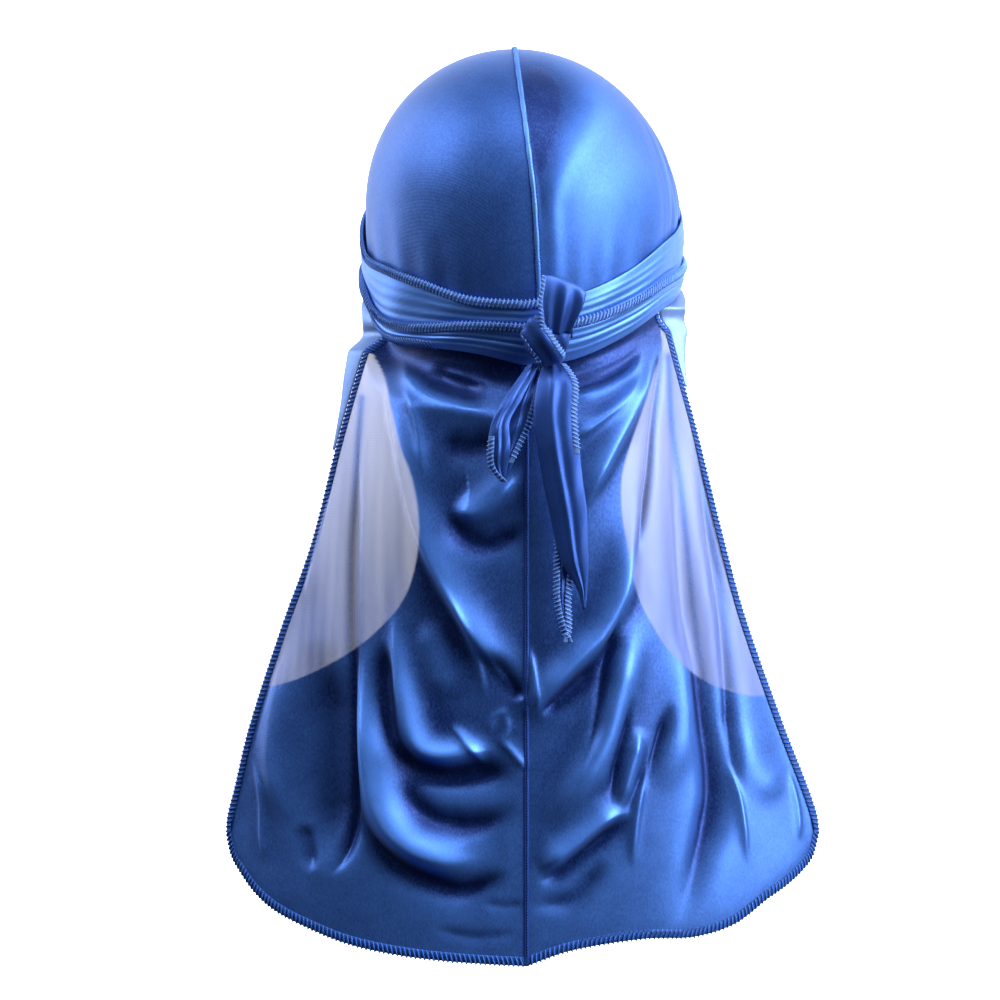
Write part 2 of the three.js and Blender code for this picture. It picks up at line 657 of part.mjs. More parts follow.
// A point of the hem's outer edge at a depth, on the straight runs between the grid's rows
function onHemEdge(grid, depth) {
  const edge = grid.map((row) => row[FLAP_STEPS_ACROSS]);
  let r = 0;
  while (r < edge.length - 2 && -edge[r + 1].z < depth) r += 1;
  const share = (depth + edge[r].z) / (edge[r].z - edge[r + 1].z);
  return edge[r].clone().lerp(edge[r + 1], share);
}

// Cloth between the hem and the strap's lower edge at the side of the head
function gussetSolid(side, grid) {
  const hemTurn = side < 0 ? FLAP_TURN_LEFT : FLAP_TURN_RIGHT;
  const under = (degrees) => strapEdges(side * radians(degrees)).bottom + GAP * 3;
  const end = side < 0 ? GUSSET_END_LEFT : GUSSET_END_RIGHT;
  const inner = [];
  const outer = [];
  for (let r = 0; r < GUSSET_ROWS.length; r += 1) {
    const onStrap = r < GUSSET_STRAP_ROWS;
    const degrees = onStrap ? mix(GUSSET_TURN, hemTurn, r / GUSSET_STRAP_ROWS) : hemTurn;
    const turn = side * radians(degrees);
    const share = (r - GUSSET_STRAP_ROWS) / (GUSSET_HEM_ROWS - 1);
    const start = onStrap
      ? onHead(turn, under(degrees), FLAP_INSIDE)
      : onHemEdge(grid, mix(under(hemTurn), end, share));
    const tangent = new THREE.Vector3(side * Math.cos(turn), side * Math.sin(turn), 0);
    const normal = new THREE.Vector3(Math.sin(turn), -Math.cos(turn), 0);
    start.addScaledVector(tangent, GAP * 2);
    const flare = GUSSET_ROWS[r][side < 0 ? 'left' : 'right'];
    const step = new THREE.Vector3(side * GUSSET_FLARE * flare, GUSSET_FORWARD * flare, 0);
    const halfway = start.clone().addScaledVector(step, 1 / 2);
    inner.push([start, halfway, start.clone().add(step)]);
    outer.push(inner[r].map((point) => point.clone().addScaledVector(normal, CLOTH)));
  }
  return wallSolid(outer, inner);
}

const flapGrids = [flapGrid(-1), flapGrid(1)];
const flapNormals = flapGrids.map(gridNormals);
for (let r = 0; r <= FLAP_STEPS_DOWN; r += 1) {
  const shared = flapNormals[0][r][0].clone().add(flapNormals[1][r][0]).normalize();
  flapNormals[0][r][0] = shared;
  flapNormals[1][r][0] = shared;
}
const seamRows = { left: null, right: null };
for (const [name, side, which] of [['left', -1, 0], ['right', 1, 1]]) {
  const grid = flapGrids[which];
  const normals = flapNormals[which];
  const cloth = grid.slice(0, -1).map((row) => row.slice(0, -1));
  const clothNormals = normals.slice(0, -1).map((row) => row.slice(0, -1));
  addPiece(`flap_${name}_panel`, wallSolid(lifted(cloth, clothNormals, CLOTH), cloth), FLAP_BLUE);
  addPiece(`flap_${name}_hem`, hemSolid(grid, normals), HEM_BLUE);
  addPiece(`${name}_side_gusset`, gussetSolid(side, grid), STRAP_BLUE);
  seamRows[name] = { cloth, clothNormals };
}

// Middle seam of the flap, over the two first columns
function flapSeam() {
  const strip = (height) =>
    seamRows.left.cloth.map((row, r) => {
      const raise = (set, c) =>
        set.cloth[r][c].clone().addScaledVector(set.clothNormals[r][c], height);
      const middle = raise(seamRows.left, 0).add(raise(seamRows.right, 0)).divideScalar(2);
      return [raise(seamRows.left, 1), middle, raise(seamRows.right, 1)];
    });
  const visible = (rows) => rows.filter((row) => -row[1].z > strapEdges(0).bottom + GAP);
  const inside = CLOTH + GAP * 2;
  return wallSolid(visible(strip(inside + SEAM_HEIGHT)), visible(strip(inside)));
}
addPiece('flap_seam', flapSeam(), HEM_BLUE);

// Frame of the knot: its back touches the straps, out points away from the head
const knotTurn = radians(KNOT_TURN);
const onStraps = (turn, depth) => onHead(turn, depth, STRAPS_OUTSIDE);
const knotSeat = onHead(knotTurn, KNOT_DEPTH, STRAPS_OUTSIDE + GAP);
const knotUp = onStraps(knotTurn, KNOT_DEPTH - 1).sub(onStraps(knotTurn, KNOT_DEPTH + 1));
knotUp.normalize();
const knotRight = onStraps(knotTurn + SMALL_TURN, KNOT_DEPTH);
knotRight.sub(onStraps(knotTurn - SMALL_TURN, KNOT_DEPTH)).normalize();
const knotOut = new THREE.Vector3().crossVectors(knotRight, knotUp).normalize();
const knotPoint = (right, up, out) => {
  const point = knotSeat.clone().addScaledVector(knotRight, right);
  return point.addScaledVector(knotUp, up).addScaledVector(knotOut, out);
};

// Knot core: a rounded lump, flatter where it lies on the straps
function knotCore() {
  const geometry = new THREE.SphereGeometry(1, CORE_STEPS_ROUND, CORE_STEPS_DOWN);
  geometry.deleteAttribute('normal');
  geometry.deleteAttribute('uv');
  const merged = mergeVertices(geometry, MERGE_DISTANCE);
  const position = merged.getAttribute('position');
  for (let i = 0; i < position.count; i += 1) {
    const unit = new THREE.Vector3().fromBufferAttribute(position, i);
    const point = knotPoint(
      unit.x * KNOT_HALF_WIDTH,
      unit.y * KNOT_HALF_HEIGHT,
      (1 + unit.z) * KNOT_HALF_DEPTH,
    );
    position.setXYZ(i, point.x, point.y, point.z);
  }
  const index = Array.from(merged.getIndex().array);
  const triangles = [];
  for (let i = 0; i < index.length; i += 3) triangles.push(index.slice(i, i + 3));
  return closedGeometry(Array.from(position.array), triangles);
}
addPiece('knot_core', knotCore(), STRAP_BLUE);

// Strap wrapped slantwise over the core
function knotWrap() {
  const tilt = radians(WRAP_TILT);
  const shell = (extra) => {
    const rows = [];
    for (let r = 0; r <= WRAP_STEPS_ACROSS; r += 1) {
      const spread = mix(-WRAP_HALF_ANGLE, WRAP_HALF_ANGLE, r / WRAP_STEPS_ACROSS);
      const lean = radians(WRAP_LEAN + spread);
      const row = [];
      for (let c = 0; c <= WRAP_STEPS_ALONG; c += 1) {
        const swing = radians(mix(WRAP_START, WRAP_END, c / WRAP_STEPS_ALONG));
        const along = Math.cos(lean) * Math.cos(swing);
        const cross = Math.sin(lean);
        const out = Math.cos(lean) * Math.sin(swing);
        row.push(knotPoint(
          (KNOT_HALF_WIDTH + extra) * (-along * Math.cos(tilt) + cross * Math.sin(tilt)),
          (KNOT_HALF_HEIGHT + extra) * (along * Math.sin(tilt) + cross * Math.cos(tilt)),
          KNOT_HALF_DEPTH + (KNOT_HALF_DEPTH + extra) * out,
        ));
      }
      rows.push(row);
    }
    return rows;
  };
  return wallSolid(shell(GAP + WRAP_CLOTH), shell(GAP));
}
addPiece('knot_wrap', knotWrap(), STRAP_BLUE);

// Folded strap end that stands up from the knot, open towards the head
function knotLoop() {
  const foot = KNOT_HALF_HEIGHT * LOOP_FOOT_SHARE;
  const shell = (extra) => {
    const rows = [];
    for (let r = 0; r <= LOOP_STEPS; r += 1) {
      const rise = r / LOOP_STEPS;
      const closing = Math.sqrt(1 - LOOP_CLOSING_SHARE * rise ** 3);
      const half = LOOP_HALF_WIDTH * closing * mix(LOOP_FOOT_WIDTH_SHARE, 1, smooth(rise * LOOP_WIDENING_RATE));
      const depth = KNOT_HALF_DEPTH * mix(LOOP_FOOT_DEPTH_SHARE, LOOP_TOP_DEPTH_SHARE, rise);
      const bulge = LOOP_BULGE * mix(1, LOOP_TOP_BULGE_SHARE, rise) + extra;
      const row = [];
      for (let c = 0; c <= LOOP_STEPS; c += 1) {
        const swing = HALF_TURN * (c / LOOP_STEPS - 1 / 2);
        const right = (half + extra) * Math.sin(swing) + LOOP_SHIFT * rise;
        const up = foot + (LOOP_HEIGHT + extra) * rise;
        row.push(knotPoint(right, up, depth + bulge * Math.cos(swing)));
      }
      rows.push(row);
    }
    return rows;
  };
  return wallSolid(shell(TAIL_CLOTH), shell(0));
}
addPiece('knot_loop', knotLoop(), STRAP_BLUE);

// Strap end that hangs from the knot, bowed across its width
function tailSolid(rows, drop, halfWidth, top, layer) {
  const centre = column(rows, 'down', 'centre');
  const half = column(rows, 'down', 'half');
  const out = column(rows, 'down', 'out');
  const inner = [];
  const outer = [];
  for (let r = 0; r <= TAIL_STEPS_DOWN; r += 1) {
    const down = r / TAIL_STEPS_DOWN;
    const innerRow = [];
    const outerRow = [];
    for (let c = 0; c <= TAIL_STEPS_ACROSS; c += 1) {
      const across = mix(-1, 1, c / TAIL_STEPS_ACROSS);
      const bow = TAIL_BOW_SHARE * halfWidth * half(down) * (1 - across ** 2);
      const point = new THREE.Vector3(
        top.x + halfWidth * (centre(down) + across * half(down)),
        top.y - TAIL_HANG * out(down) - bow + layer,
        top.z - drop * down,
      );
      innerRow.push(point);
      outerRow.push(point.clone().add(new THREE.Vector3(0, -TAIL_CLOTH, 0)));
    }
    inner.push(innerRow);
    outer.push(outerRow);
  }
  return wallSolid(outer, inner);
}
const tailTop = knotPoint(0, -KNOT_HALF_HEIGHT - GAP, KNOT_HALF_DEPTH);
const longEndTop = tailTop.clone();
longEndTop.z -= LONG_TAIL_DROP * LONG_END_START_SHARE;
addPiece(
  'long_tail_front',
  tailSolid(LONG_TAIL_ROWS, LONG_TAIL_DROP, LONG_TAIL_HALF_WIDTH, tailTop, 0),
  STRAP_BLUE,
);
addPiece(
  'long_tail_back',
  tailSolid(LONG_END_ROWS, LONG_END_DROP, LONG_END_HALF_WIDTH, longEndTop, LONG_LAYER_STEP),
  STRAP_BLUE,
);
addPiece(
  'short_tail_front',
  tailSolid(SHORT_TAIL_ROWS, SHORT_TAIL_DROP, SHORT_TAIL_HALF_WIDTH, tailTop, 0),
  STRAP_BLUE,
);
addPiece(
  'short_tail_back',
  tailSolid(SHORT_END_ROWS, SHORT_TAIL_DROP, SHORT_TAIL_HALF_WIDTH, tailTop, SHORT_LAYER_STEP),
  STRAP_BLUE,
);

export default durag;
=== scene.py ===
import math

import bpy
import numpy as np
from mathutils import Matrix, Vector


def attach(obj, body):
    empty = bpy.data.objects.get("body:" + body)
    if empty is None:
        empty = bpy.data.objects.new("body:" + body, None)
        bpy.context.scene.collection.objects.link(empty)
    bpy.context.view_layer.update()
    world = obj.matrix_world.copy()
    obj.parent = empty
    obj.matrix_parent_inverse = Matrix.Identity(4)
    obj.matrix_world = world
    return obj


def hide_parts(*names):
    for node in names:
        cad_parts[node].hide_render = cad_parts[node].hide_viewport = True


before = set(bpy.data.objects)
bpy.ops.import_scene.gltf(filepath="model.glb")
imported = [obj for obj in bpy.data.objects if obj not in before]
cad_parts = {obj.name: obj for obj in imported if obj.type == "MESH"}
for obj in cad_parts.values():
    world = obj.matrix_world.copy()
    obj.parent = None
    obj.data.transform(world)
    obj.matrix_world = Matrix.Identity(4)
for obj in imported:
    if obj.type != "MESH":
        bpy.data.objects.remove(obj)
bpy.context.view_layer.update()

# The durag as it is worn, seen from behind. Lengths are millimetres until a mesh is made.
# +Z is up, +Y the wearer's front, +X the wearer's right, and the origin is the vertex.
MM = 0.001

# Head and cap
HEAD_HALF_WIDTH = 80.0
HEAD_BACK_REACH = 95.0
HEAD_FRONT_REACH = 93.0
CROWN_DEPTH = 84.0
NAPE_DEPTH = 160.0
NAPE_TAPER = 0.15
FRONT_NARROWING = 0.07
CROWN_LEAN = -4.0
SEAM_DRIFT = 6.0
CLOTH = 0.6

# Straps
BAND_BACK_DEPTH = 135.0
BAND_FRONT_DEPTH = 48.0
UPPER_SHOW = 40.0
LOWER_SHOW = 28.0
STRAP_UNDERLAP = 8.0
CAP_TUCK = 9.0

# Flap
FLAP_TUCK = 8.0
FLAP_TURN_LEFT = 72.0
FLAP_TURN_RIGHT = 66.0
FLAP_HALF_WIDTH = 149.5
FLAP_CORNER_DEPTH = 400.0
FLAP_BOTTOM_DEPTH = 460.0
FLAP_BACK = 98.0
FLAP_WRAP = 57.0
FLAP_RELEASE = 30.0
FLAP_SIDE_RELEASE = 12.0
FLAP_SEAM_X = 1.5

# Camera, at the level of the middle of the picture
CAMERA_DISTANCE = 1600.0
CAMERA_X = -11.4
CAMERA_Z = -232.4
PICTURE_WIDTH = 520.0
SENSOR = 36.0


def make_camera():
    data = bpy.data.cameras.new("camera")
    data.sensor_width = SENSOR
    data.lens = SENSOR * CAMERA_DISTANCE / PICTURE_WIDTH
    data.clip_end = 50.0
    camera = bpy.data.objects.new("camera", data)
    camera.location = (CAMERA_X * MM, -CAMERA_DISTANCE * MM, CAMERA_Z * MM)
    camera.rotation_euler = (math.radians(90), 0.0, 0.0)
    bpy.context.collection.objects.link(camera)
    bpy.context.scene.camera = camera


make_camera()

# Strap wraps, from the back round to the front: turn in degrees, then rise as a share of the way
# from BAND_BACK_DEPTH to BAND_FRONT_DEPTH, upper as a share of UPPER_SHOW and lower of LOWER_SHOW
STRAP_COLUMNS = ("turn", "rise_left", "rise_right", "upper_left", "upper_right", "lower_left", "lower_right")
STRAP_ROWS = (
    (0, 0.0, 0.0, 0.28, 0.28, 0.71, 0.71),
    (20, 0.03, 0.045, 0.31, 0.31, 0.54, 0.7),
    (40, 0.137, 0.183, 0.55, 0.38, 0.4, 0.64),
    (60, 0.24, 0.37, 0.68, 0.45, 0.4, 0.6),
    (72, 0.3, 0.455, 0.62, 0.5, 0.38, 0.57),
    (80, 0.36, 0.52, 0.48, 0.55, 0.28, 0.55),
    (95, 0.566, 0.62, 0.6, 0.6, 0.5, 0.57),
    (120, 0.79, 0.815, 0.8, 0.7, 0.8, 0.79),
    (150, 0.943, 0.954, 0.83, 0.76, 0.96, 0.93),
    (180, 1.0, 1.0, 0.75, 0.75, 1.0, 1.0),
)
# Flap from the straps to the hem: shares of FLAP_HALF_WIDTH, FLAP_BACK and FLAP_WRAP
FLAP_COLUMNS = ("down", "left", "right", "back", "wrap")
FLAP_ROWS = (
    (0.0, 0.495, 0.465, 0.88, 1.0),
    (0.1, 0.55, 0.51, 0.93, 0.95),
    (0.25, 0.625, 0.585, 0.955, 0.9),
    (0.45, 0.715, 0.675, 0.965, 0.85),
    (0.6, 0.81, 0.75, 0.97, 0.85),
    (0.8, 0.925, 0.88, 0.985, 0.9),
    (0.92, 0.976, 0.966, 0.994, 0.93),
    (0.97, 0.998, 0.996, 0.998, 0.94),
    (1.0, 1.002, 1.003, 1.0, 0.95),
)
# Lower hem from the middle seam to the corner: shares of the drop from the corner
FOOT_COLUMNS = ("across", "left", "right")
FOOT_ROWS = (
    (0.0, 1.0, 1.0),
    (0.1, 0.985, 0.89),
    (0.2, 0.965, 0.83),
    (0.325, 0.925, 0.79),
    (0.465, 0.85, 0.79),
    (0.6, 0.73, 0.7),
    (0.72, 0.61, 0.52),
    (0.805, 0.49, 0.42),
    (0.895, 0.32, 0.3),
    (0.96, 0.18, 0.18),
    (1.0, 0.0, 0.0),
)

# Folds of the flap, drawn on a sheet seen from behind: x to the right and y downwards in units
# of DRAWING_UNIT, with the place (500, 500) at DRAWING_X and DRAWING_Z. height and the widths of
# the two flanks are millimetres; a trough has a height below nought. The upper flank is on the
# left hand of the path, and crisp is nought for a round fold and one for a sharp one.
DRAWING_UNIT = 0.489
DRAWING_X = -11.4
DRAWING_Z = -232.4
FOLD_COLUMNS = ("height", "upper", "lower", "crisp", "path")
LEFT_FOLDS = (
    # swags under the left strap
    (4.5, 4.5, 8, 0.8, ((397, 347), (410, 373), (432, 393), (461, 406), (495, 413))),
    (-4.0, 8, 8, 0.1, ((422, 366), (450, 384), (488, 390))),
    (1.8, 2, 3, 0.8, ((425, 355), (466, 361), (503, 370))),
    (1.4, 2, 3, 0.7, ((434, 366), (462, 374), (492, 384))),
    # long fold from the left strap to the foot of the broad V, and the thin ridge beside it
    (7.5, 13, 5, 0.4, (
        (378, 345), (392, 400), (405, 450), (415, 500), (430, 548), (452, 594), (480, 640), (508, 680),
        (532, 708),
    )),
    (2.2, 2.5, 3, 0.8, ((437, 566), (459, 608), (472, 640), (480, 668), (486, 705))),
    (2.2, 4, 3, 0.6, ((405, 380), (416, 410), (424, 445), (428, 485))),
    # pocket behind the short end
    (5.0, 11, 5, 0.2, ((448, 508), (474, 512), (500, 494), (522, 462))),
    (-3.0, 8, 8, 0.1, ((438, 440), (470, 448), (508, 436))),
    (-3.0, 6, 6, 0.2, ((450, 500), (458, 532), (482, 546), (508, 538), (524, 520))),
    # hollow and small folds under the V
    (-3.5, 4, 5, 0.3, ((478, 650), (500, 668), (516, 690), (523, 702))),
    (1.2, 2.5, 2.5, 0.6, ((487, 736), (495, 717), (511, 708))),
    (1.0, 2, 2, 0.6, ((496, 746), (507, 730), (505, 712))),
    (2.2, 4, 2, 0.7, ((450, 722), (468, 744), (488, 768))),
    (1.8, 3.5, 2, 0.7, ((498, 738), (513, 754), (527, 772))),
    # nested U left of centre
    (7.5, 9, 6, 0.3, ((395, 600), (397, 648), (405, 699), (417, 742), (440, 757), (470, 752), (502, 748))),
    (2.5, 8, 8, 0.0, ((428, 615), (436, 660), (447, 702))),
    (-5.5, 7, 7, 0.1, ((392, 722), (414, 768), (450, 777), (485, 774), (522, 772))),
    (-4.5, 7, 7, 0.1, ((396, 742), (408, 796), (428, 819), (460, 826), (492, 820), (523, 801))),
    (-4.0, 6, 6, 0.2, ((384, 640), (387, 700), (393, 764))),
    # outer U
    (9.5, 13, 8, 0.2, (
        (350, 650), (361, 694), (369, 735), (374, 778), (383, 812), (402, 840), (432, 857), (464, 859),
        (497, 842),
    )),
    (-4.5, 5, 7, 0.2, ((352, 800), (370, 838), (398, 866), (430, 883), (460, 890), (490, 881), (510, 869))),
    # upright folds and hollows near the left hem
    (-4.5, 4, 4, 0.7, (
        (357, 395), (352, 490), (348, 562), (348, 654), (349, 747), (347, 828), (339, 863), (324, 882),
    )),
    (-8.0, 14, 13, 0.0, ((314, 640), (322, 720), (327, 800), (336, 880))),
    (3.5, 7, 8, 0.2, ((284, 630), (281, 680), (274, 721), (270, 761), (275, 800), (291, 834))),
    (1.6, 2, 2, 0.8, ((247, 765), (256, 801), (257, 841), (259, 872))),
    (2.0, 7, 6, 0.2, ((318, 470), (312, 540), (302, 620))),
    (-2.5, 4, 4, 0.3, ((297, 828), (303, 850), (310, 878))),
    (-0.9, 3, 3, 0.3, ((480, 902), (504, 906), (526, 903))),
    (-0.9, 3, 3, 0.3, ((430, 928), (475, 937), (520, 932))),
)
RIGHT_FOLDS = (
    # folds that fan from the right strap
    (2.2, 2.5, 3.5, 0.7, ((572, 366), (604, 357), (628, 346), (650, 326))),
    (1.6, 2, 3, 0.7, ((570, 378), (600, 370), (630, 353), (653, 330))),
    (4.0, 3.5, 6, 0.7, ((556, 401), (582, 394), (609, 383), (633, 364), (652, 334))),
    (3.0, 4, 4, 0.6, ((562, 442), (590, 426), (618, 400), (642, 366))),
    (5.5, 9, 5, 0.5, ((584, 514), (594, 484), (609, 452), (628, 415), (645, 380), (657, 345))),
    # broad V
    (7.5, 11, 6, 0.4, (
        (512, 716), (534, 704), (556, 680), (580, 655), (606, 628), (622, 590), (630, 545), (642, 495),
    )),
    (-3.0, 4, 5, 0.3, ((539, 716), (556, 700), (580, 680), (600, 660))),
    (2.0, 2, 2.5, 0.8, ((529, 645), (534, 676), (539, 714))),
    # long shines right of centre
    (-3.5, 4, 4, 0.6, ((637, 568), (615, 622), (607, 648), (602, 681), (596, 721), (588, 748), (566, 803))),
    (7.0, 11, 9, 0.1, ((646, 600), (626, 656), (613, 700), (600, 745), (574, 790), (540, 826))),
    (-3.0, 3, 3, 0.4, ((632, 693), (623, 731), (615, 764), (610, 803))),
    (4.0, 5, 4, 0.4, ((642, 726), (629, 770), (618, 814))),
    (2.6, 2.5, 3, 0.8, ((665, 712), (650, 761), (639, 801), (634, 841), (633, 870))),
    (-3.0, 3.5, 3.5, 0.4, ((673, 702), (661, 737), (645, 774), (625, 814))),
    # swags above the hem right of centre
    (5.5, 9, 4, 0.3, ((536, 868), (556, 858), (582, 838), (608, 818), (634, 811))),
    (-3.0, 4, 5, 0.3, ((536, 884), (556, 875), (580, 855), (607, 834), (634, 822))),
    (-2.5, 5, 5, 0.2, ((527, 907), (567, 901), (588, 882), (608, 858))),
    # upright folds and hollows near the right hem
    (-8.0, 9, 8, 0.2, (
        (674, 352), (676, 417), (684, 477), (691, 538), (698, 614), (706, 670), (714, 721), (720, 761),
        (721, 801), (714, 830), (703, 862), (688, 905), (670, 940),
    )),
    (2.4, 9, 10, 0.0, ((700, 610), (692, 686), (682, 740), (664, 800))),
    (-3.5, 4, 4, 0.5, (
        (700, 418), (712, 500), (722, 560), (730, 614), (736, 680), (739, 731), (742, 774), (747, 818),
    )),
    (2.0, 2, 2.5, 0.8, ((737, 762), (744, 800), (747, 828), (752, 873))),
    (-3.0, 3, 3, 0.6, ((665, 335), (664, 368), (656, 429), (651, 475), (643, 526), (633, 566))),
    (1.6, 9, 8, 0.0, ((738, 720), (760, 772), (790, 810))),
    (1.6, 2, 2, 0.7, ((798, 775), (805, 817), (807, 852))),
)

# Painted backlight: where the satin has nothing close behind it, it is made see-through and paler, as if
# lit from behind. For each height in the drawing, the inner edge of that part on each side
BACKLIGHT_COLUMNS = ("y", "left_inner", "right_inner")
BACKLIGHT_ROWS = (
    (345, 366, 667),
    (373, 381, 657),
    (400, 388, 648),
    (447, 400, 631),
    (477, 411, 623),
    (513, 418, 623),
    (545, 418, 628),
    (580, 411, 634),
    (606, 399, 643),
    (630, 378, 656),
    (650, 354, 669),
    (669, 323, 688),
    (683, 293, 706),
    (691, 268, 722),
    (700, 240, 752),
    (706, 230, 790),
)
BACKLIGHT_BOTTOM_LEFT = 693.0
BACKLIGHT_BOTTOM_RIGHT = 703.0
# Lines along which the cloth lies double in that part, so less painted backlight comes through
DOUBLED_LINES = (
    ((357, 395), (352, 490), (348, 562), (348, 654)),
    ((674, 352), (676, 417), (684, 477), (691, 538), (698, 614), (709, 690)),
    ((704, 430), (712, 500), (722, 560), (730, 614), (737, 690)),
    ((665, 335), (664, 368), (656, 429), (651, 475), (643, 526), (633, 566)),
)


def mix(a, b, t):
    return a + (b - a) * t


def smooth(t):
    t = np.clip(t, 0.0, 1.0)
    return t * t * (3.0 - 2.0 * t)


def hump(x, centre, width):
    return np.exp(-(((x - centre) / width) ** 2))


def column(columns, rows, name):
    """A smooth curve through one column of a table, over its first column."""
    keys = np.array([row[0] for row in rows], float)
    values = np.array([row[columns.index(name)] for row in rows], float)
    before = np.maximum(np.arange(len(keys)) - 1, 0)
    after = np.minimum(np.arange(len(keys)) + 1, len(keys) - 1)
    slopes = (values[after] - values[before]) / (keys[after] - keys[before])

    def curve(at):
        at = np.asarray(at, float)
        i = np.clip(np.searchsorted(keys, at, side="right") - 1, 0, len(keys) - 2)
        length = keys[i + 1] - keys[i]
        t = np.clip((at - keys[i]) / length, 0.0, 1.0)
        return (
            (2 * t**3 - 3 * t**2 + 1) * values[i]
            + (t**3 - 2 * t**2 + t) * length * slopes[i]
            + (3 * t**2 - 2 * t**3) * values[i + 1]
            + (t**3 - t**2) * length * slopes[i + 1]
        )

    return curve


def on_head(turn, depth, offset):
    """Points at angles from the back, depths below the vertex and offsets outside the head."""
    turn, depth, offset = np.broadcast_arrays(*(np.asarray(v, float) for v in (turn, depth, offset)))
    rise = 1.0 - np.minimum(depth / CROWN_DEPTH, 1.0)
    spread = np.sqrt(np.maximum(1.0 - rise * rise, 0.0))
    below = np.maximum(depth - CROWN_DEPTH, 0.0) / (NAPE_DEPTH - CROWN_DEPTH)
    taper = 1.0 - NAPE_TAPER * below * below
    facing = np.cos(turn)
    reach = np.where(facing > 0, HEAD_BACK_REACH, HEAD_FRONT_REACH)
    narrowing = 1.0 - FRONT_NARROWING * np.minimum(facing, 0.0) ** 2
    x = (HEAD_HALF_WIDTH * narrowing * taper + offset) * spread * np.sin(turn) + CROWN_LEAN * rise
    y = -(reach * taper + offset) * spread * facing
    z = offset * rise - depth
    return np.stack([x, y, z], axis=-1)


strap_curves = {name: column(STRAP_COLUMNS, STRAP_ROWS, name) for name in STRAP_COLUMNS[1:]}


def strap_edges(turn):
    """Depths of the upper wrap's top edge, the lower wrap's top edge and its bottom edge."""
    turn = np.asarray(turn, float)
    degrees = np.degrees(np.abs(turn))

    def both(name):
        left = strap_curves[f"{name}_left"](degrees)
        right = strap_curves[f"{name}_right"](degrees)
        return np.where(turn < 0, left, right)

    top = mix(BAND_BACK_DEPTH, BAND_FRONT_DEPTH, both("rise"))
    middle = top + UPPER_SHOW * both("upper")
    bottom = middle + LOWER_SHOW * both("lower")
    return top, middle, bottom


def unit(v):
    return v / np.maximum(np.linalg.norm(v, axis=-1, keepdims=True), 1e-9)


def grid_normals(grid):
    """Unit normals of a grid of points, pointing away from the middle of the head."""
    down = np.gradient(grid, axis=0)
    across = np.gradient(grid, axis=1)
    normals = unit(np.cross(down, across))
    outward = grid * np.array([1.0, 1.0, 0.0])
    flip = np.sum(normals * outward, axis=-1, keepdims=True) < 0
    return np.where(flip, -normals, normals)


def new_object(name, points, faces, material):
    mesh = bpy.data.meshes.new(name)
    mesh.from_pydata((np.asarray(points).reshape(-1, 3) * MM).tolist(), [], faces)
    mesh.polygons.foreach_set("use_smooth", [True] * len(mesh.polygons))
    mesh.materials.append(material)
    mesh.update()
    piece = bpy.data.objects.new(name, mesh)
    bpy.context.collection.objects.link(piece)
    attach(piece, "root")
    return piece


def grid_faces(rows, columns, start=0, ring=False, flip=False):
    r, c = np.meshgrid(np.arange(rows - 1), np.arange(columns if ring else columns - 1), indexing="ij")
    corner = r * columns + c
    beside = r * columns + (c + 1) % columns
    quads = np.stack([corner, corner + columns, beside + columns, beside], -1).reshape(-1, 4) + start
    return (quads[:, ::-1] if flip else quads).tolist()


def tube_faces(steps, sides, start=0):
    """Faces of a tube of rings that is closed at both ends."""
    end = start + (steps - 1) * sides
    caps = [list(range(start, start + sides)), list(range(end + sides - 1, end - 1, -1))]
    return grid_faces(steps, sides, start, ring=True) + caps


def sheet_object(name, grid, material):
    """One layer of cloth from a grid of points."""
    rows, columns = grid.shape[:2]
    return new_object(name, grid, grid_faces(rows, columns), material)


def wall_object(name, outer, inner, material, ring=False):
    """Closed cloth from an outer and an inner grid; a ring's columns close on themselves."""
    rows, columns = outer.shape[:2]
    count = rows * columns
    faces = grid_faces(rows, columns, 0, ring) + grid_faces(rows, columns, count, ring, True)
    for c in range(columns if ring else columns - 1):
        d = (c + 1) % columns
        last = (rows - 1) * columns
        faces.append((c, d, count + d, count + c))
        faces.append((last + d, last + c, count + last + c, count + last + d))
    for r in range(0 if ring else rows - 1):
        a, b = r * columns, (r + 1) * columns
        faces.append((b, a, count + a, count + b))
        faces.append((a + columns - 1, b + columns - 1, count + b + columns - 1, count + a + columns - 1))
    return new_object(name, np.concatenate([outer.reshape(-1, 3), inner.reshape(-1, 3)]), faces, material)


def point_values(piece, name, values):
    attribute = piece.data.attributes.new(name, "FLOAT", "POINT")
    attribute.data.foreach_set("value", np.asarray(values, float).ravel())


def declare_cloth(grid):
    """Works out the size that a piece's own surface has when laid flat: its width, length and area, which
    nothing uses.
    """
    around = np.linalg.norm(np.diff(grid, axis=1), axis=2).sum(axis=1)
    along_way = np.linalg.norm(np.diff(grid, axis=0), axis=2).sum(axis=0)
    first = np.cross(grid[1:, :-1] - grid[:-1, :-1], grid[:-1, 1:] - grid[:-1, :-1])
    second = np.cross(grid[1:, :-1] - grid[1:, 1:], grid[:-1, 1:] - grid[1:, 1:])
    area = 0.5 * (np.linalg.norm(first, axis=2).sum() + np.linalg.norm(second, axis=2).sum())
    width, length = float(around.max()) * MM, float(along_way.max()) * MM
    area = min(float(area) * MM * MM, width * length)


# Materials
# Pitches are millimetres, and the distances of the bumps metres
WEAVE_PITCH = 0.45
GRAIN_PITCH = 0.9
GRAIN_STRETCH = 0.55
CRINKLE_PITCH = 14.0
FIBRE_PITCH = 0.5
WEAVE_BUMP = {"Strength": 0.2, "Distance": 0.0001}
CRINKLE_BUMP = {"Strength": 0.25, "Distance": 0.0006}
FIBRE_BUMP = {"Strength": 0.5, "Distance": 0.0002}
ROUGHNESS_SPREAD = 0.14
# How far the grain moves a satin from its deep colour to its light one, and from which level
GRAIN_SHARE = 0.35
GRAIN_LEVEL = 0.12
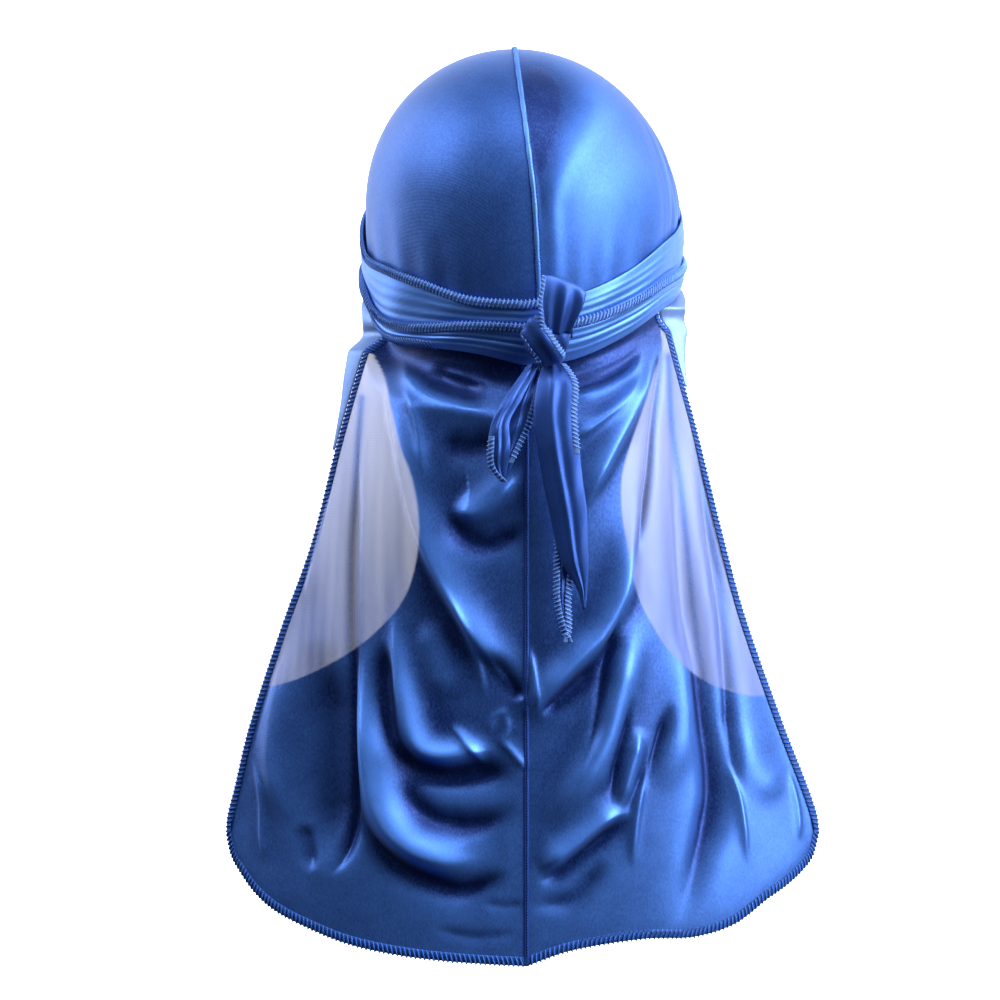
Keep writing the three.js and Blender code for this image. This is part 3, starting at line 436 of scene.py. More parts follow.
# With painted shading: the grain's share, the crinkles' share, which paints the crests of the crinkle bump
# lighter, and the level
GRAIN_SHARE_IN_SHADING = 0.4
CRINKLE_SHADING_SHARE = 0.16
SHADING_MAP_LEVEL = 0.29
# Painted backlight: the colour given to satin where light is painted shining through it; the satin's
# metallic share, and how much less it is there
LIT_THROUGH = (0.05, 0.105, 0.4)
METALLIC = 0.6
METALLIC_LESS_IF_BACKLIT = 0.4
# Shares of a thread's colour in its hollows and on its fibres: the hollows of the fibre bump are painted
# darker, partly the fibres' own colour and partly painted shade
THREAD_SHADED_HOLLOWS = 0.2
THREAD_LIGHT = 1.5
SATIN_SURFACE = {
    "Metallic": METALLIC,
    "Specular IOR Level": 0.5,
    "Specular Tint": (0.75, 0.86, 1.0, 1.0),
    "Sheen Weight": 0.12,
    "Sheen Roughness": 0.4,
    "Sheen Tint": (0.45, 0.65, 1.0, 1.0),
}
THREAD_SURFACE = {
    "Roughness": 0.55,
    "Specular IOR Level": 0.2,
    "Sheen Weight": 0.06,
    "Sheen Tint": (0.3, 0.5, 1.0, 1.0),
}


def feed(tree, made, values):
    """Links those values that are sockets to the inputs of a node, and sets the others."""
    for key, value in values.items():
        if isinstance(value, bpy.types.NodeSocket):
            tree.links.new(value, made.inputs[key])
        else:
            made.inputs[key].default_value = value


def node(tree, kind, *values, **named):
    """A new node with its inputs fed; a name that is no input of it is a setting."""
    made = tree.nodes.new(kind)
    for key, value in named.items():
        if key not in made.inputs:
            setattr(made, key, value)
    inputs = {key: value for key, value in named.items() if key in made.inputs}
    feed(tree, made, dict(enumerate(values)) | inputs)
    return made


def calculated(tree, operation, *values):
    return node(tree, "ShaderNodeMath", *values, operation=operation).outputs["Value"]


def point_attribute(tree, name):
    return node(tree, "ShaderNodeAttribute", attribute_name=name).outputs["Fac"]


def noise(tree, place, pitch, detail, roughness):
    scale = 1.0 / (pitch * MM)
    made = node(tree, "ShaderNodeTexNoise", Vector=place, Scale=scale, Detail=detail, Roughness=roughness)
    return made.outputs["Fac"]


def mixed(tree, factor, first, second):
    """A mix of two colours, each a socket or red, green and blue."""
    first, second = (v if isinstance(v, bpy.types.NodeSocket) else (*v, 1.0) for v in (first, second))
    return node(tree, "ShaderNodeMix", data_type="RGBA", Factor=factor, A=first, B=second).outputs["Result"]


def new_material(name):
    """A material, its node tree and its places in the object's own coordinates."""
    material = bpy.data.materials.new(name)
    material.use_nodes = True
    return material, material.node_tree, node(material.node_tree, "ShaderNodeTexCoord").outputs["Object"]


def satin(name, deep, light, roughness, with_shading_map=False, painted_backlight=False):
    """Satin: deep colour with paler threads, fine weave, faint grain and soft crinkles; with painted shading
    from an attribute and painted backlight where asked.
    """
    material, tree, place = new_material(name)
    crinkle = noise(tree, place, CRINKLE_PITCH, 3.0, 0.55)
    stretched = node(tree, "ShaderNodeMapping", Vector=place, Scale=(1.0, 1.0, GRAIN_STRETCH))
    grain = noise(tree, stretched.outputs["Vector"], GRAIN_PITCH, 2.0, 0.6)
    threads = 1.0 / (WEAVE_PITCH * MM * 6.28)
    weave = node(tree, "ShaderNodeTexWave", Vector=place, Scale=threads, Distortion=1.5)
    weave.bands_direction = "DIAGONAL"

    if with_shading_map:
        # Painted shading from the attribute, with the crinkles' painted shading added, shifted to a level,
        # and the grain over it
        shading_and_crinkles = calculated(tree, "MULTIPLY_ADD", crinkle, CRINKLE_SHADING_SHARE, point_attribute(tree, "painted_shading"))
        level = calculated(tree, "SUBTRACT", shading_and_crinkles, SHADING_MAP_LEVEL)
        amount = calculated(tree, "MULTIPLY_ADD", grain, GRAIN_SHARE_IN_SHADING, level)
    else:
        amount = calculated(tree, "MULTIPLY_ADD", grain, GRAIN_SHARE, GRAIN_LEVEL)
    colour = mixed(tree, amount, deep, light)
    fine = node(tree, "ShaderNodeBump", Height=weave.outputs["Fac"], **WEAVE_BUMP).outputs["Normal"]
    soft = node(tree, "ShaderNodeBump", Height=crinkle, Normal=fine, **CRINKLE_BUMP).outputs["Normal"]
    base = roughness - ROUGHNESS_SPREAD / 2
    rough = calculated(tree, "MULTIPLY_ADD", crinkle, ROUGHNESS_SPREAD, base)
    surface = SATIN_SURFACE | {"Base Color": colour, "Roughness": rough, "Normal": soft}
    # Painted backlight: paler colour, less metallic, and see-through by the attribute cover
    if painted_backlight:
        backlight_level = point_attribute(tree, "painted_backlight")
        surface["Base Color"] = mixed(tree, backlight_level, colour, LIT_THROUGH)
        surface["Metallic"] = calculated(tree, "MULTIPLY_ADD", backlight_level, -METALLIC_LESS_IF_BACKLIT, METALLIC)
        surface["Alpha"] = point_attribute(tree, "cover")
    feed(tree, tree.nodes["Principled BSDF"], surface)
    return material


def thread(name, colour):
    """Matt twisted thread of the overlocked edges, palest where the attribute yarn is highest."""
    material, tree, place = new_material(name)
    fibre = noise(tree, place, FIBRE_PITCH, 3.0, 0.5)
    # Darker in the hollows of the fibre bump: partly the fibres' own colour, partly painted shade
    amount = calculated(tree, "MULTIPLY", fibre, point_attribute(tree, "yarn"))
    painted_shading = mixed(tree, amount, [THREAD_SHADED_HOLLOWS * v for v in colour], [THREAD_LIGHT * v for v in colour])
    bump = node(tree, "ShaderNodeBump", Height=fibre, **FIBRE_BUMP).outputs["Normal"]
    feed(tree, tree.nodes["Principled BSDF"], THREAD_SURFACE | {"Base Color": painted_shading, "Normal": bump})
    return material


cap_satin = satin("cap_satin", (0.003, 0.019, 0.14), (0.09, 0.28, 0.95), 0.48, with_shading_map=True)
flap_satin = satin("flap_satin", (0.002, 0.017, 0.13), (0.1, 0.3, 1.0), 0.43, with_shading_map=True, painted_backlight=True)
flap_seam_satin = satin("flap_seam_satin", (0.006, 0.03, 0.2), (0.03, 0.1, 0.45), 0.45)
# Painted light: the straps are the same satin painted lighter
strap_satin = satin("strap_satin", (0.05, 0.16, 0.6), (0.15, 0.37, 0.95), 0.46)
# Painted shade: the knot and the strap ends are the same satin painted darker
knot_satin_painted_darker = satin("knot_satin_painted_darker", (0.008, 0.036, 0.22), (0.04, 0.13, 0.5), 0.42)
side_satin = satin("side_satin", (0.11, 0.2, 0.5), (0.27, 0.42, 0.76), 0.5)
hem_thread = thread("hem_thread", (0.04, 0.16, 0.66))
# Painted light: the thread on the straps, knot and strap ends is the hem's thread painted lighter
strap_thread_painted_lighter = thread("strap_thread_painted_lighter", (0.15, 0.34, 0.95))
# Painted highlight: the cap's middle seam is the same satin painted lighter
seam_satin = satin("seam_satin", (0.06, 0.19, 0.62), (0.16, 0.36, 0.85), 0.45)


# Overlocked edges: a rounded band with slanting threads over it
# Each hem: width, pitch of its stitches, radius of its threads and their material
FLAP_HEM = (4.4, 2.3, 0.42, hem_thread)
STRAP_HEM = (4.2, 2.1, 0.4, strap_thread_painted_lighter)
KNOT_HEM = (2.8, 2.0, 0.32, strap_thread_painted_lighter)
LOOP_HEM = (2.2, 2.0, 0.3, strap_thread_painted_lighter)
TAIL_HEM = (3.2, 2.0, 0.34, strap_thread_painted_lighter)
STEPS_PER_STITCH = 4
FIRST_STITCH = 2
LAST_STITCH = 6
# Route of each thread over the band: share across it, height in half thicknesses, steps along it
STITCH_ROWS = (
    (1.0, 0.6, 0),
    (0.75, 1.5, 1),
    (0.4, 1.7, 2),
    (0.05, 1.1, 3),
    (-0.12, 0.0, 3),
    (0.15, -1.1, 4),
    (0.55, -1.4, 5),
)
BAND_TURNS = np.radians(np.arange(0, 360, 45))
BAND_THICKNESS = 1.1
BAND_YARN = 0.35
SEAM_STITCH_YARN = 0.6
TUBE_END_TAPER = 0.6


def resample(line, step):
    """Fractional places in a line of points, at even steps along it."""
    lengths = np.concatenate([[0.0], np.cumsum(np.linalg.norm(np.diff(line, axis=0), axis=1))])
    count = max(int(lengths[-1] / step), 2)
    at = np.linspace(0.0, lengths[-1], count)
    return np.interp(at, lengths, np.arange(len(line)))


def along(values, at):
    """Values of a list of vectors at fractional places in it."""
    i = np.clip(at.astype(int), 0, len(values) - 2)
    t = (at - i)[:, None]
    return values[i] * (1 - t) + values[i + 1] * t


def tube_mesh(paths, radius, sides=5):
    """Points and faces of many short tubes; paths has a path of points for each."""
    count, steps = paths.shape[:2]
    direction = unit(np.gradient(paths, axis=1))
    helper = np.where(np.abs(direction[..., 2:]) < 0.9, [0.0, 0.0, 1.0], [1.0, 0.0, 0.0])
    side = unit(np.cross(direction, helper))
    other = np.cross(direction, side)
    turns = np.arange(sides) * 2 * math.pi / sides
    ring = side[:, :, None] * np.cos(turns)[:, None] + other[:, :, None] * np.sin(turns)[:, None]
    taper = np.ones(steps)
    taper[[0, -1]] = TUBE_END_TAPER
    points = paths[:, :, None] + ring * radius * taper[None, :, None, None]
    faces = [face for k in range(count) for face in tube_faces(steps, sides, k * steps * sides)]
    return points.reshape(-1, 3), faces


def joined(points, faces, more_points, more_faces):
    """Two meshes as one."""
    moved = [[i + len(points) for i in face] for face in more_faces]
    return np.concatenate([points, more_points]), faces + moved


def overlock(name, edge, inward, normal, hem, replaced=None):
    """An overlocked edge along a line of points, with the directions into and out of the cloth."""
    width, pitch, radius, yarn = hem
    at = resample(edge, pitch / STEPS_PER_STITCH)
    line, into, out = along(edge, at), unit(along(inward, at)), unit(along(normal, at))
    half = width / 2
    thick = radius * BAND_THICKNESS
    across = into[:, None] * (np.cos(BAND_TURNS) * half)[None, :, None]
    raised = out[:, None] * (np.sin(BAND_TURNS) * thick)[None, :, None]
    band = ((line + into * half)[:, None] + across + raised).reshape(-1, 3)
    starts = np.arange(FIRST_STITCH, len(at) - LAST_STITCH, STEPS_PER_STITCH)
    paths = np.stack([
        line[starts + lean] + into[starts + lean] * width * share + out[starts + lean] * thick * height
        for share, height, lean in STITCH_ROWS
    ], axis=1)
    threads, thread_faces = tube_mesh(paths, radius)
    points, faces = joined(band, tube_faces(len(at), len(BAND_TURNS)), threads, thread_faces)
    piece = new_object(name, points, faces, yarn)
    point_values(piece, "yarn", np.concatenate([np.full(len(band), BAND_YARN), np.ones(len(threads))]))
    if replaced:
        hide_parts(replaced)


# Cap
CAP_ROWS = 110
CAP_COLUMNS = 130
# Painted shading of the cap: a level, a share for each mm of relief that paints ridges lighter and hollows
# darker, and painted light on the right panel below a depth
CAP_TONE = 0.3
CAP_SHADING_PER_MM = 0.19
CAP_PAINTED_LIGHT_RIGHT = 0.16
CAP_PAINTED_LIGHT_DEPTH = 45.0
CAP_OUTSIDE = 1.0
CAP_SEAM_GAP = 0.15
CAP_DEEPEST = -0.7
ROW_CROWDING = 1.5
TONE_LIMITS = (0.03, 0.95)
# Crease beside the seam: widths in degrees, and the depths where it is narrow and where it ends.
# Its hollow is cut off at CAP_DEEPEST in the shape but painted as shade to its full depth
CREASE_TOP_WIDTH = 15.0
CREASE_LOW_WIDTH = 2.0
CREASE_NARROW_DEPTH = 92.0
CREASE_END_DEPTH = 62.0
CREASE_END_LENGTH = 42.0
HOLLOW_DEPTH = 2.2
SHINE_HEIGHT = 0.9
LONG_WRINKLE = 0.45
SHORT_WRINKLE = 0.25
GATHER_LENGTH = 34.0
GATHER_HEIGHT = 0.35
SEAM_STEPS = 90
SEAM_TUCK = 4.0
SEAM_OUTSIDE = 1.35
SEAM_HALF_WIDTH = 1.15
SEAM_HEIGHT = 0.85
SEAM_WAVE = 0.12


def seam_turn(depth):
    return math.radians(SEAM_DRIFT) * np.asarray(depth) / BAND_BACK_DEPTH


def cap_relief(turn, depth, edge):
    """Crease beside the seam, wrinkles at the right edge and gathers above the straps."""
    degrees = np.degrees(turn)
    beside = degrees - np.degrees(seam_turn(depth))
    width = mix(CREASE_TOP_WIDTH, CREASE_LOW_WIDTH, smooth(depth / CREASE_NARROW_DEPTH))
    low_end = 1.0 - smooth((depth - CREASE_END_DEPTH) / CREASE_END_LENGTH)
    hollow = low_end * hump(beside, 0.8 * width, 1.1 * width)
    shine = hump(beside, 3.2 * width, 1.3 * width)
    fade = smooth((depth - 3.0) / 30.0) * smooth((edge - depth) / 12.0) * (beside > 0)
    crease = fade * (SHINE_HEIGHT * shine - HOLLOW_DEPTH * hollow)
    side = smooth((degrees - 52.0) / 25.0) * smooth((118.0 - degrees) / 20.0) * smooth((depth - 30.0) / 30.0)
    long_waves = np.sin(degrees * 0.62 + depth * 0.05)
    short_waves = np.sin(degrees * 1.35 - depth * 0.03)
    wrinkles = side * (LONG_WRINKLE * long_waves + SHORT_WRINKLE * short_waves)
    above = smooth((depth - edge + GATHER_LENGTH) / GATHER_LENGTH)
    waves = np.sin(degrees * 0.55 + 3.0 * np.sin(degrees * 0.05))
    gathers = above * GATHER_HEIGHT * waves * smooth((np.abs(degrees) - 12) / 12)
    return crease + wrinkles + gathers


def make_cap(name, side, replaced):
    round_share = np.linspace(0.0, 1.0, CAP_COLUMNS)[None, :]
    down_share = np.linspace(0.0, 1.0, CAP_ROWS)[:, None]
    edge_turn = mix(seam_turn(BAND_BACK_DEPTH), side * math.pi, round_share)
    top, _, bottom = strap_edges(edge_turn)
    depth = (bottom - CAP_TUCK) * down_share**ROW_CROWDING
    turn = mix(seam_turn(depth), side * math.pi, round_share)
    relief = cap_relief(turn, depth, top)
    shift = np.array([side * CAP_SEAM_GAP, 0.0, 0.0])
    outer = on_head(turn, depth, CAP_OUTSIDE + np.maximum(relief, CAP_DEEPEST)) + shift
    inner = on_head(turn, depth, CAP_OUTSIDE - CLOTH + np.minimum(relief, 0.0)) + shift
    piece = wall_object(name, outer, inner, cap_satin)
    # Painted light: the right panel is painted lighter lower down
    paler = CAP_PAINTED_LIGHT_RIGHT * smooth((depth - CAP_PAINTED_LIGHT_DEPTH) / CAP_PAINTED_LIGHT_DEPTH) * (side > 0)
    # Painted shading: the relief's ridges lighter, its hollows and the crease beside the seam darker
    painted_shading = np.clip(CAP_TONE + CAP_SHADING_PER_MM * relief + paler, *TONE_LIMITS)
    point_values(piece, "painted_shading", np.concatenate([painted_shading.ravel(), painted_shading.ravel()]))
    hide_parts(replaced)
    declare_cloth(outer)


def make_cap_seam():
    """Rolled seam over the middle of the cap, with its stitches pulled through."""
    back_end, front_end = (float(strap_edges(turn)[0]) + SEAM_TUCK for turn in (0.0, math.pi))
    shares = np.linspace(1.0, 0.0, SEAM_STEPS)
    back_depth = back_end * shares**ROW_CROWDING
    front_depth = front_end * shares[::-1][1:] ** ROW_CROWDING
    depth = np.concatenate([back_depth, front_depth])
    turn = np.concatenate([seam_turn(back_depth), np.full(len(front_depth), math.pi)])
    half = SEAM_HALF_WIDTH + SEAM_WAVE * np.sin(np.arange(len(depth)) * 0.9)
    angles = np.radians((0, 30, 60, 90, 120, 150, 180, 225, 270, 315))
    middle = on_head(turn, depth, SEAM_OUTSIDE)
    out = unit(on_head(turn, depth, SEAM_OUTSIDE + 1.0) - middle)
    right = np.array([1.0, 0.0, 0.0])
    sideways = right * np.cos(angles)[None, :, None] * half[:, None, None]
    lift = SEAM_HEIGHT * np.where(np.sin(angles) > 0, 1.0, 0.3) * np.sin(angles)
    ring = middle[:, None] + sideways + out[:, None] * lift[None, :, None]
    at = resample(middle, 2.0)
    place, up = along(middle, at), unit(along(out, at))
    paths = np.stack([
        place + right * 1.5 * k + up * h
        for k, h in ((-1.0, 0.05), (-0.5, 0.62), (0.1, 0.8), (0.6, 0.62), (1.0, 0.05))
    ], axis=1)
    stitches = tube_mesh(paths[1:-1], 0.2)
    points, faces = joined(ring.reshape(-1, 3), tube_faces(len(depth), len(angles)), *stitches)
    piece = new_object("cap_middle_seam", points, faces, seam_satin)
    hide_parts("cap_seam")


make_cap("cap_left", -1, "cap_left_panel")
make_cap("cap_right", 1, "cap_right_panel")
make_cap_seam()

# Straps
STRAP_COLUMNS_ROUND = 360
STRAP_ROWS_ACROSS = 40


def pleat_profile(across, turn, lines):
    """Pleats along a strap; each line is (share across at the back, at the side, depth, width)."""
    away = smooth(np.abs(np.degrees(turn)) / 80.0)
    height = np.zeros(np.broadcast_shapes(across.shape, turn.shape))
    for at_back, at_side, lift, wide in lines:
        centre = mix(at_back, at_side, away)
        height = height + lift * hump(across, centre, wide)
    return height


def make_strap(name, which, inside, crown, lines, replaced):
    across = np.linspace(0.0, 1.0, STRAP_ROWS_ACROSS)[:, None]
    turn = np.linspace(-math.pi, math.pi, STRAP_COLUMNS_ROUND, endpoint=False)[None, :]
    top, middle, bottom = strap_edges(turn)
    start = top if which == "upper" else middle
    end = middle + STRAP_UNDERLAP if which == "upper" else bottom
    depth = mix(start, end, across)
    pleats = pleat_profile(across, turn, lines)
    slack = 0.35 * np.sin(np.degrees(turn) * 0.23 + across * 4.0) * np.sin(across * math.pi)
    height = crown * np.sin(across * math.pi) ** 0.6 + pleats + slack
    outer = on_head(turn, depth, inside + CLOTH + np.maximum(height, 0.0))
    inner = on_head(turn, depth, np.full(depth.shape, inside))
    piece = wall_object(name, outer, inner, strap_satin, ring=True)
    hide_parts(replaced)
    closed = np.concatenate([outer, outer[:, :1]], axis=1)
    declare_cloth(closed)
    return outer


UPPER_INSIDE = 2.6
UPPER_CROWN = 0.9
LOWER_INSIDE = 4.7
LOWER_CROWN = 0.7
# Pleats of each strap: share across it at the back and at the side, height and share of width
UPPER_PLEATS = (
    (0.2, 0.25, 0.3, 0.05),
    (0.34, 0.4, 0.45, 0.07),
    (0.52, 0.58, 0.5, 0.06),
    (0.66, 0.72, 0.3, 0.04),
    (0.8, 0.86, 0.45, 0.06),
    (0.6, 0.65, -0.3, 0.03),
)
LOWER_PLEATS = (
    (0.26, 0.22, 0.4, 0.06),
    (0.42, 0.4, 0.35, 0.05),
    (0.6, 0.58, 0.5, 0.07),
    (0.78, 0.76, 0.4, 0.05),
    (0.5, 0.48, -0.35, 0.03),
)
upper_strap = make_strap("upper_wrap", "upper", UPPER_INSIDE, UPPER_CROWN, UPPER_PLEATS, "upper_strap_wrap")
lower_strap = make_strap("lower_wrap", "lower", LOWER_INSIDE, LOWER_CROWN, LOWER_PLEATS, "lower_strap_wrap")


HEM_PROUD = 0.25
HEM_SUNK = -1.6
HEM_SINK_DEGREES = 6.0
PAST_FRONT = 190
# Rows of a strap at an edge and inside it
TOP_EDGE = (0, 6)
LOW_EDGE = (-1, -7)


def strap_hem(name, strap, rows, start, end):
    """Overlocked edge of a strap between two angles from the back; its ends sink into a fold."""
    turns = np.degrees(np.linspace(-math.pi, math.pi, STRAP_COLUMNS_ROUND, endpoint=False))
    chosen = (turns >= start) & (turns <= end)
    edge = strap[rows[0]][chosen]
    inward = strap[rows[1]][chosen] - edge
    outward = edge * np.array([1.0, 1.0, 0.0])
    from_end = np.minimum(turns[chosen] - start, end - turns[chosen])
    lift = mix(HEM_SUNK, HEM_PROUD, smooth(from_end / HEM_SINK_DEGREES))[:, None]
    overlock(name, edge + unit(outward) * lift, inward, outward, STRAP_HEM)


strap_hem("upper_wrap_hem_left", upper_strap, TOP_EDGE, -PAST_FRONT, 15)
strap_hem("upper_wrap_hem_right", upper_strap, TOP_EDGE, 92, PAST_FRONT)
strap_hem("lower_wrap_hem_left", lower_strap, TOP_EDGE, -PAST_FRONT, 12)
strap_hem("lower_wrap_hem_right", lower_strap, TOP_EDGE, 8, PAST_FRONT)
strap_hem("lower_wrap_under_hem_left", lower_strap, LOW_EDGE, -PAST_FRONT, -34)
strap_hem("lower_wrap_under_hem_right", lower_strap, LOW_EDGE, 92, PAST_FRONT)

# Flap
SPAN_STEPS = 7
FOLD_REACH = 3.2


def smooth_path(places):
    """A smooth line through the places of a path, at even steps of its spans."""
    places = np.array(places, float)
    padded = np.concatenate([[2 * places[0] - places[1]], places, [2 * places[-1] - places[-2]]])
    t = np.linspace(0.0, 1.0, SPAN_STEPS, endpoint=False)[:, None]
    line = []
    for k in range(len(places) - 1):
        a, b, c, d = padded[k : k + 4]
        line.append(
            0.5 * (2 * b + (c - a) * t + (2 * a - 5 * b + 4 * c - d) * t**2 + (3 * b - a - 3 * c + d) * t**3)
        )
    return np.concatenate(line + [places[-1:]])


def nearest_on_line(x, y, line):
    """Distance to a line, share of the way along it, and distance to its left hand side."""
    best = np.full(x.shape, np.inf)
    share = np.zeros(x.shape)
    side = np.zeros(x.shape)
    for k in range(len(line) - 1):
        step = line[k + 1] - line[k]
        length = np.hypot(*step)
        dx, dy = x - line[k, 0], y - line[k, 1]
        t = np.clip((dx * step[0] + dy * step[1]) / length**2, 0.0, 1.0)
        away = np.hypot(dx - t * step[0], dy - t * step[1])
        nearer = away < best
        best = np.where(nearer, away, best)
        share = np.where(nearer, (k + t) / (len(line) - 1), share)
        side = np.where(nearer, (step[1] * dx - step[0] * dy) / length, side)
    return best, share, side


def near_line(x, y, line, reach):
    low, high = line.min(axis=0) - reach, line.max(axis=0) + reach
    return (x > low[0]) & (x < high[0]) & (y > low[1]) & (y < high[1])


def fold_field(x, y, rows):
    """Height of the folds at places of the drawing."""
    height = np.zeros(x.shape)
    for row in rows:
        fold = dict(zip(FOLD_COLUMNS, row))
        line = smooth_path(fold["path"])
        widest = max(fold["lower"], fold["upper"])
        near = near_line(x, y, line, FOLD_REACH * widest / DRAWING_UNIT)
        away, share, side = (
            v * scale
            for v, scale in zip(nearest_on_line(x[near], y[near], line), (DRAWING_UNIT, 1.0, DRAWING_UNIT))
        )
        width = mix(fold["lower"], fold["upper"], smooth(side / (0.5 * widest) + 0.5))
        reach = away / (width * mix(0.7, 1.0, np.sin(share * math.pi)))
        round_form = np.exp(-(reach**2))
        sharp_form = np.exp(-(np.sqrt(reach**2 + 0.05) - 0.2236) * 1.7)
        fade = smooth(3.2 * np.minimum(share, 1 - share))
        form = mix(round_form, sharp_form, fold["crisp"]) * smooth((FOLD_REACH - reach) / 1.2)
        height[near] += fold["height"] * fade * form
    return height


def drawing_place(point):
    """Where a point of the flap lies in the drawing of the folds."""
    return 500 + (point[..., 0] - DRAWING_X) / DRAWING_UNIT, 500 - (point[..., 2] - DRAWING_Z) / DRAWING_UNIT


flap_curves = {name: column(FLAP_COLUMNS, FLAP_ROWS, name) for name in FLAP_COLUMNS[1:]}
FLAP_GRID_ACROSS = 200
FLAP_GRID_DOWN = 330
# Painted shading of the flap: a level on flat cloth; for each mm of fold height above its blurred
# surroundings, painted highlight on crests and painted shade in troughs; the blur's reach in grid steps; a
# painted shadow under the straps; painted light towards the foot; and the length of that shadow
TONE_FLAT = 0.28
SHADING_PER_MM = 0.14
FOLD_SHADING_REACH = 26
PAINTED_STRAP_SHADOW = 0.4
PAINTED_LIGHT_AT_FOOT = 0.13
SHADE_LENGTH = 30.0
# Painted backlight: width of the doubled lines, and how much of the see-through part the cloth covers high
# up, low down and on the doubled lines
DOUBLED_WIDTH = 4.5
COVER_HIGH_UP = 0.83
COVER_LOW_DOWN = 0.94
COVER_DOUBLED = 0.96
FLAP_OUTSIDE = 1.3
# Section of the seam down the flap: sideways and outwards
FLAP_SEAM_PROFILE = (
    (-1.3, 0.0), (-0.9, 0.2), (-0.4, 0.25), (-0.1, 0.05),
    (0.1, 0.05), (0.4, 0.3), (0.9, 0.25), (1.3, 0.0),
)


def blurred(values, reach):
    """A grid of values, each mixed with its neighbours up to a number of steps away."""
    kernel = np.hanning(2 * reach + 1)
    kernel = kernel / kernel.sum()
    for axis in (0, 1):
        padding = [(0, 0), (0, 0)]
        padding[axis] = (reach, reach)
        padded = np.pad(values, padding, mode="edge")
        values = np.apply_along_axis(np.convolve, axis, padded, kernel, "valid")
    return values


def on_flap(side, across, down):
    """Points of the flap, across from the middle seam to the hem and down, and its folds."""
    limit = math.radians(FLAP_TURN_LEFT if side < 0 else FLAP_TURN_RIGHT)
    turn = side * across * limit
    edge = strap_edges(turn)[2]
    drop = column(FOOT_COLUMNS, FOOT_ROWS, "left" if side < 0 else "right")(across)
    bottom = mix(FLAP_CORNER_DEPTH, FLAP_BOTTOM_DEPTH, drop)
    depth = mix(edge - FLAP_TUCK, bottom, down)
    spread = np.sin(np.abs(turn)) / math.sin(limit)
    hem = side * FLAP_HALF_WIDTH * flap_curves["left" if side < 0 else "right"](down)
    forward = (1 - np.cos(turn)) / (1 - math.cos(limit))
    free = np.stack([
        mix(FLAP_SEAM_X, hem, spread),
        FLAP_WRAP * flap_curves["wrap"](down) * forward - FLAP_BACK * flap_curves["back"](down),
        -depth,
    ], axis=-1)
    loose = smooth((depth - edge - 1.0) / mix(FLAP_RELEASE, FLAP_SIDE_RELEASE, across**4))
    point = mix(on_head(turn, depth, FLAP_OUTSIDE), free, loose[..., None])
    height = fold_field(*drawing_place(point), LEFT_FOLDS + RIGHT_FOLDS)
    height = height * smooth((depth - edge - 1.0) / (0.6 * FLAP_RELEASE)) * smooth((1.0 - across) / 0.07)
    point[..., 0] += height * np.sin(turn)
    point[..., 1] -= height * np.cos(turn)
    return point, height, depth - edge


def make_flap(name, side, replaced):
    evenly = np.linspace(0.0, 1.0, FLAP_GRID_ACROSS)[None, :]
    crowded = mix(evenly, np.sin(evenly * math.pi / 2), 0.5)
    across, down = np.broadcast_arrays(crowded, np.linspace(0.0, 1.0, FLAP_GRID_DOWN)[:, None])
    grid, height, below_strap = on_flap(side, across, down)
    piece = sheet_object(name, grid, flap_satin)
    x, y = drawing_place(grid)
    inner = column(BACKLIGHT_COLUMNS, BACKLIGHT_ROWS, "left_inner" if side < 0 else "right_inner")(y)
    lowest = BACKLIGHT_BOTTOM_LEFT if side < 0 else BACKLIGHT_BOTTOM_RIGHT
    # Painted backlight: the part inside the inner edges and above the bottom
    inside = smooth(side * (x - inner) / 2.5 + 0.5) * smooth((lowest - y) / 2.5)
    doubled = np.zeros(x.shape)
    for places in DOUBLED_LINES:
        line = smooth_path(places)
        near = near_line(x, y, line, 20.0)
        away = nearest_on_line(x[near], y[near], line)[0]
        doubled[near] = np.maximum(doubled[near], hump(away, 0.0, DOUBLED_WIDTH))
    # Less painted backlight comes through lower down, along streaks and where the cloth lies double
    wander = 1.6 * np.sin(0.011 * y + 0.03 * x)
    streaks = 0.016 * np.sin(x * 0.15 + wander) + 0.008 * np.sin(x * 0.47 - 2.0 * wander)
    backlight_level = mix(COVER_HIGH_UP, COVER_LOW_DOWN, smooth((y - 380.0) / 300.0)) + streaks
    cover = mix(1.0, mix(backlight_level, COVER_DOUBLED, doubled), inside)
    # Painted highlight on fold crests and painted shade in fold troughs
    folds = SHADING_PER_MM * (height - blurred(height, FOLD_SHADING_REACH))
    # Painted shadow of the straps on the flap just below them
    shaded = PAINTED_STRAP_SHADOW * (1.0 - smooth(below_strap / SHADE_LENGTH))
    # Painted light: the flap is painted lighter towards its foot
    paler = PAINTED_LIGHT_AT_FOOT * smooth((y - 690.0) / 230.0)
    painted_shading = np.clip(TONE_FLAT + folds - shaded + paler, *TONE_LIMITS)
    point_values(piece, "cover", cover)
    point_values(piece, "painted_backlight", inside * (1.0 - 0.8 * doubled))
    point_values(piece, "painted_shading", painted_shading)
    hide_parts(replaced)
    declare_cloth(grid)
    return grid


left_grid = make_flap("flap_left", -1, "flap_left_panel")
right_grid = make_flap("flap_right", 1, "flap_right_panel")


def flap_hem(name, grid, replaced):
    normals = grid_normals(grid)
    edge = np.concatenate([grid[:, -1], grid[-1, -2::-1]])
    out = np.concatenate([normals[:, -1], normals[-1, -2::-1]])
    into = np.cross(out, np.gradient(edge, axis=0))
    middle = grid[len(grid) // 2, 0]
    outwards = np.sum(into * (middle - edge), axis=-1, keepdims=True) < 0
    overlock(name, edge, np.where(outwards, -into, into), out, FLAP_HEM, replaced)


flap_hem("left_hem", left_grid, "flap_left_hem")
flap_hem("right_hem", right_grid, "flap_right_hem")


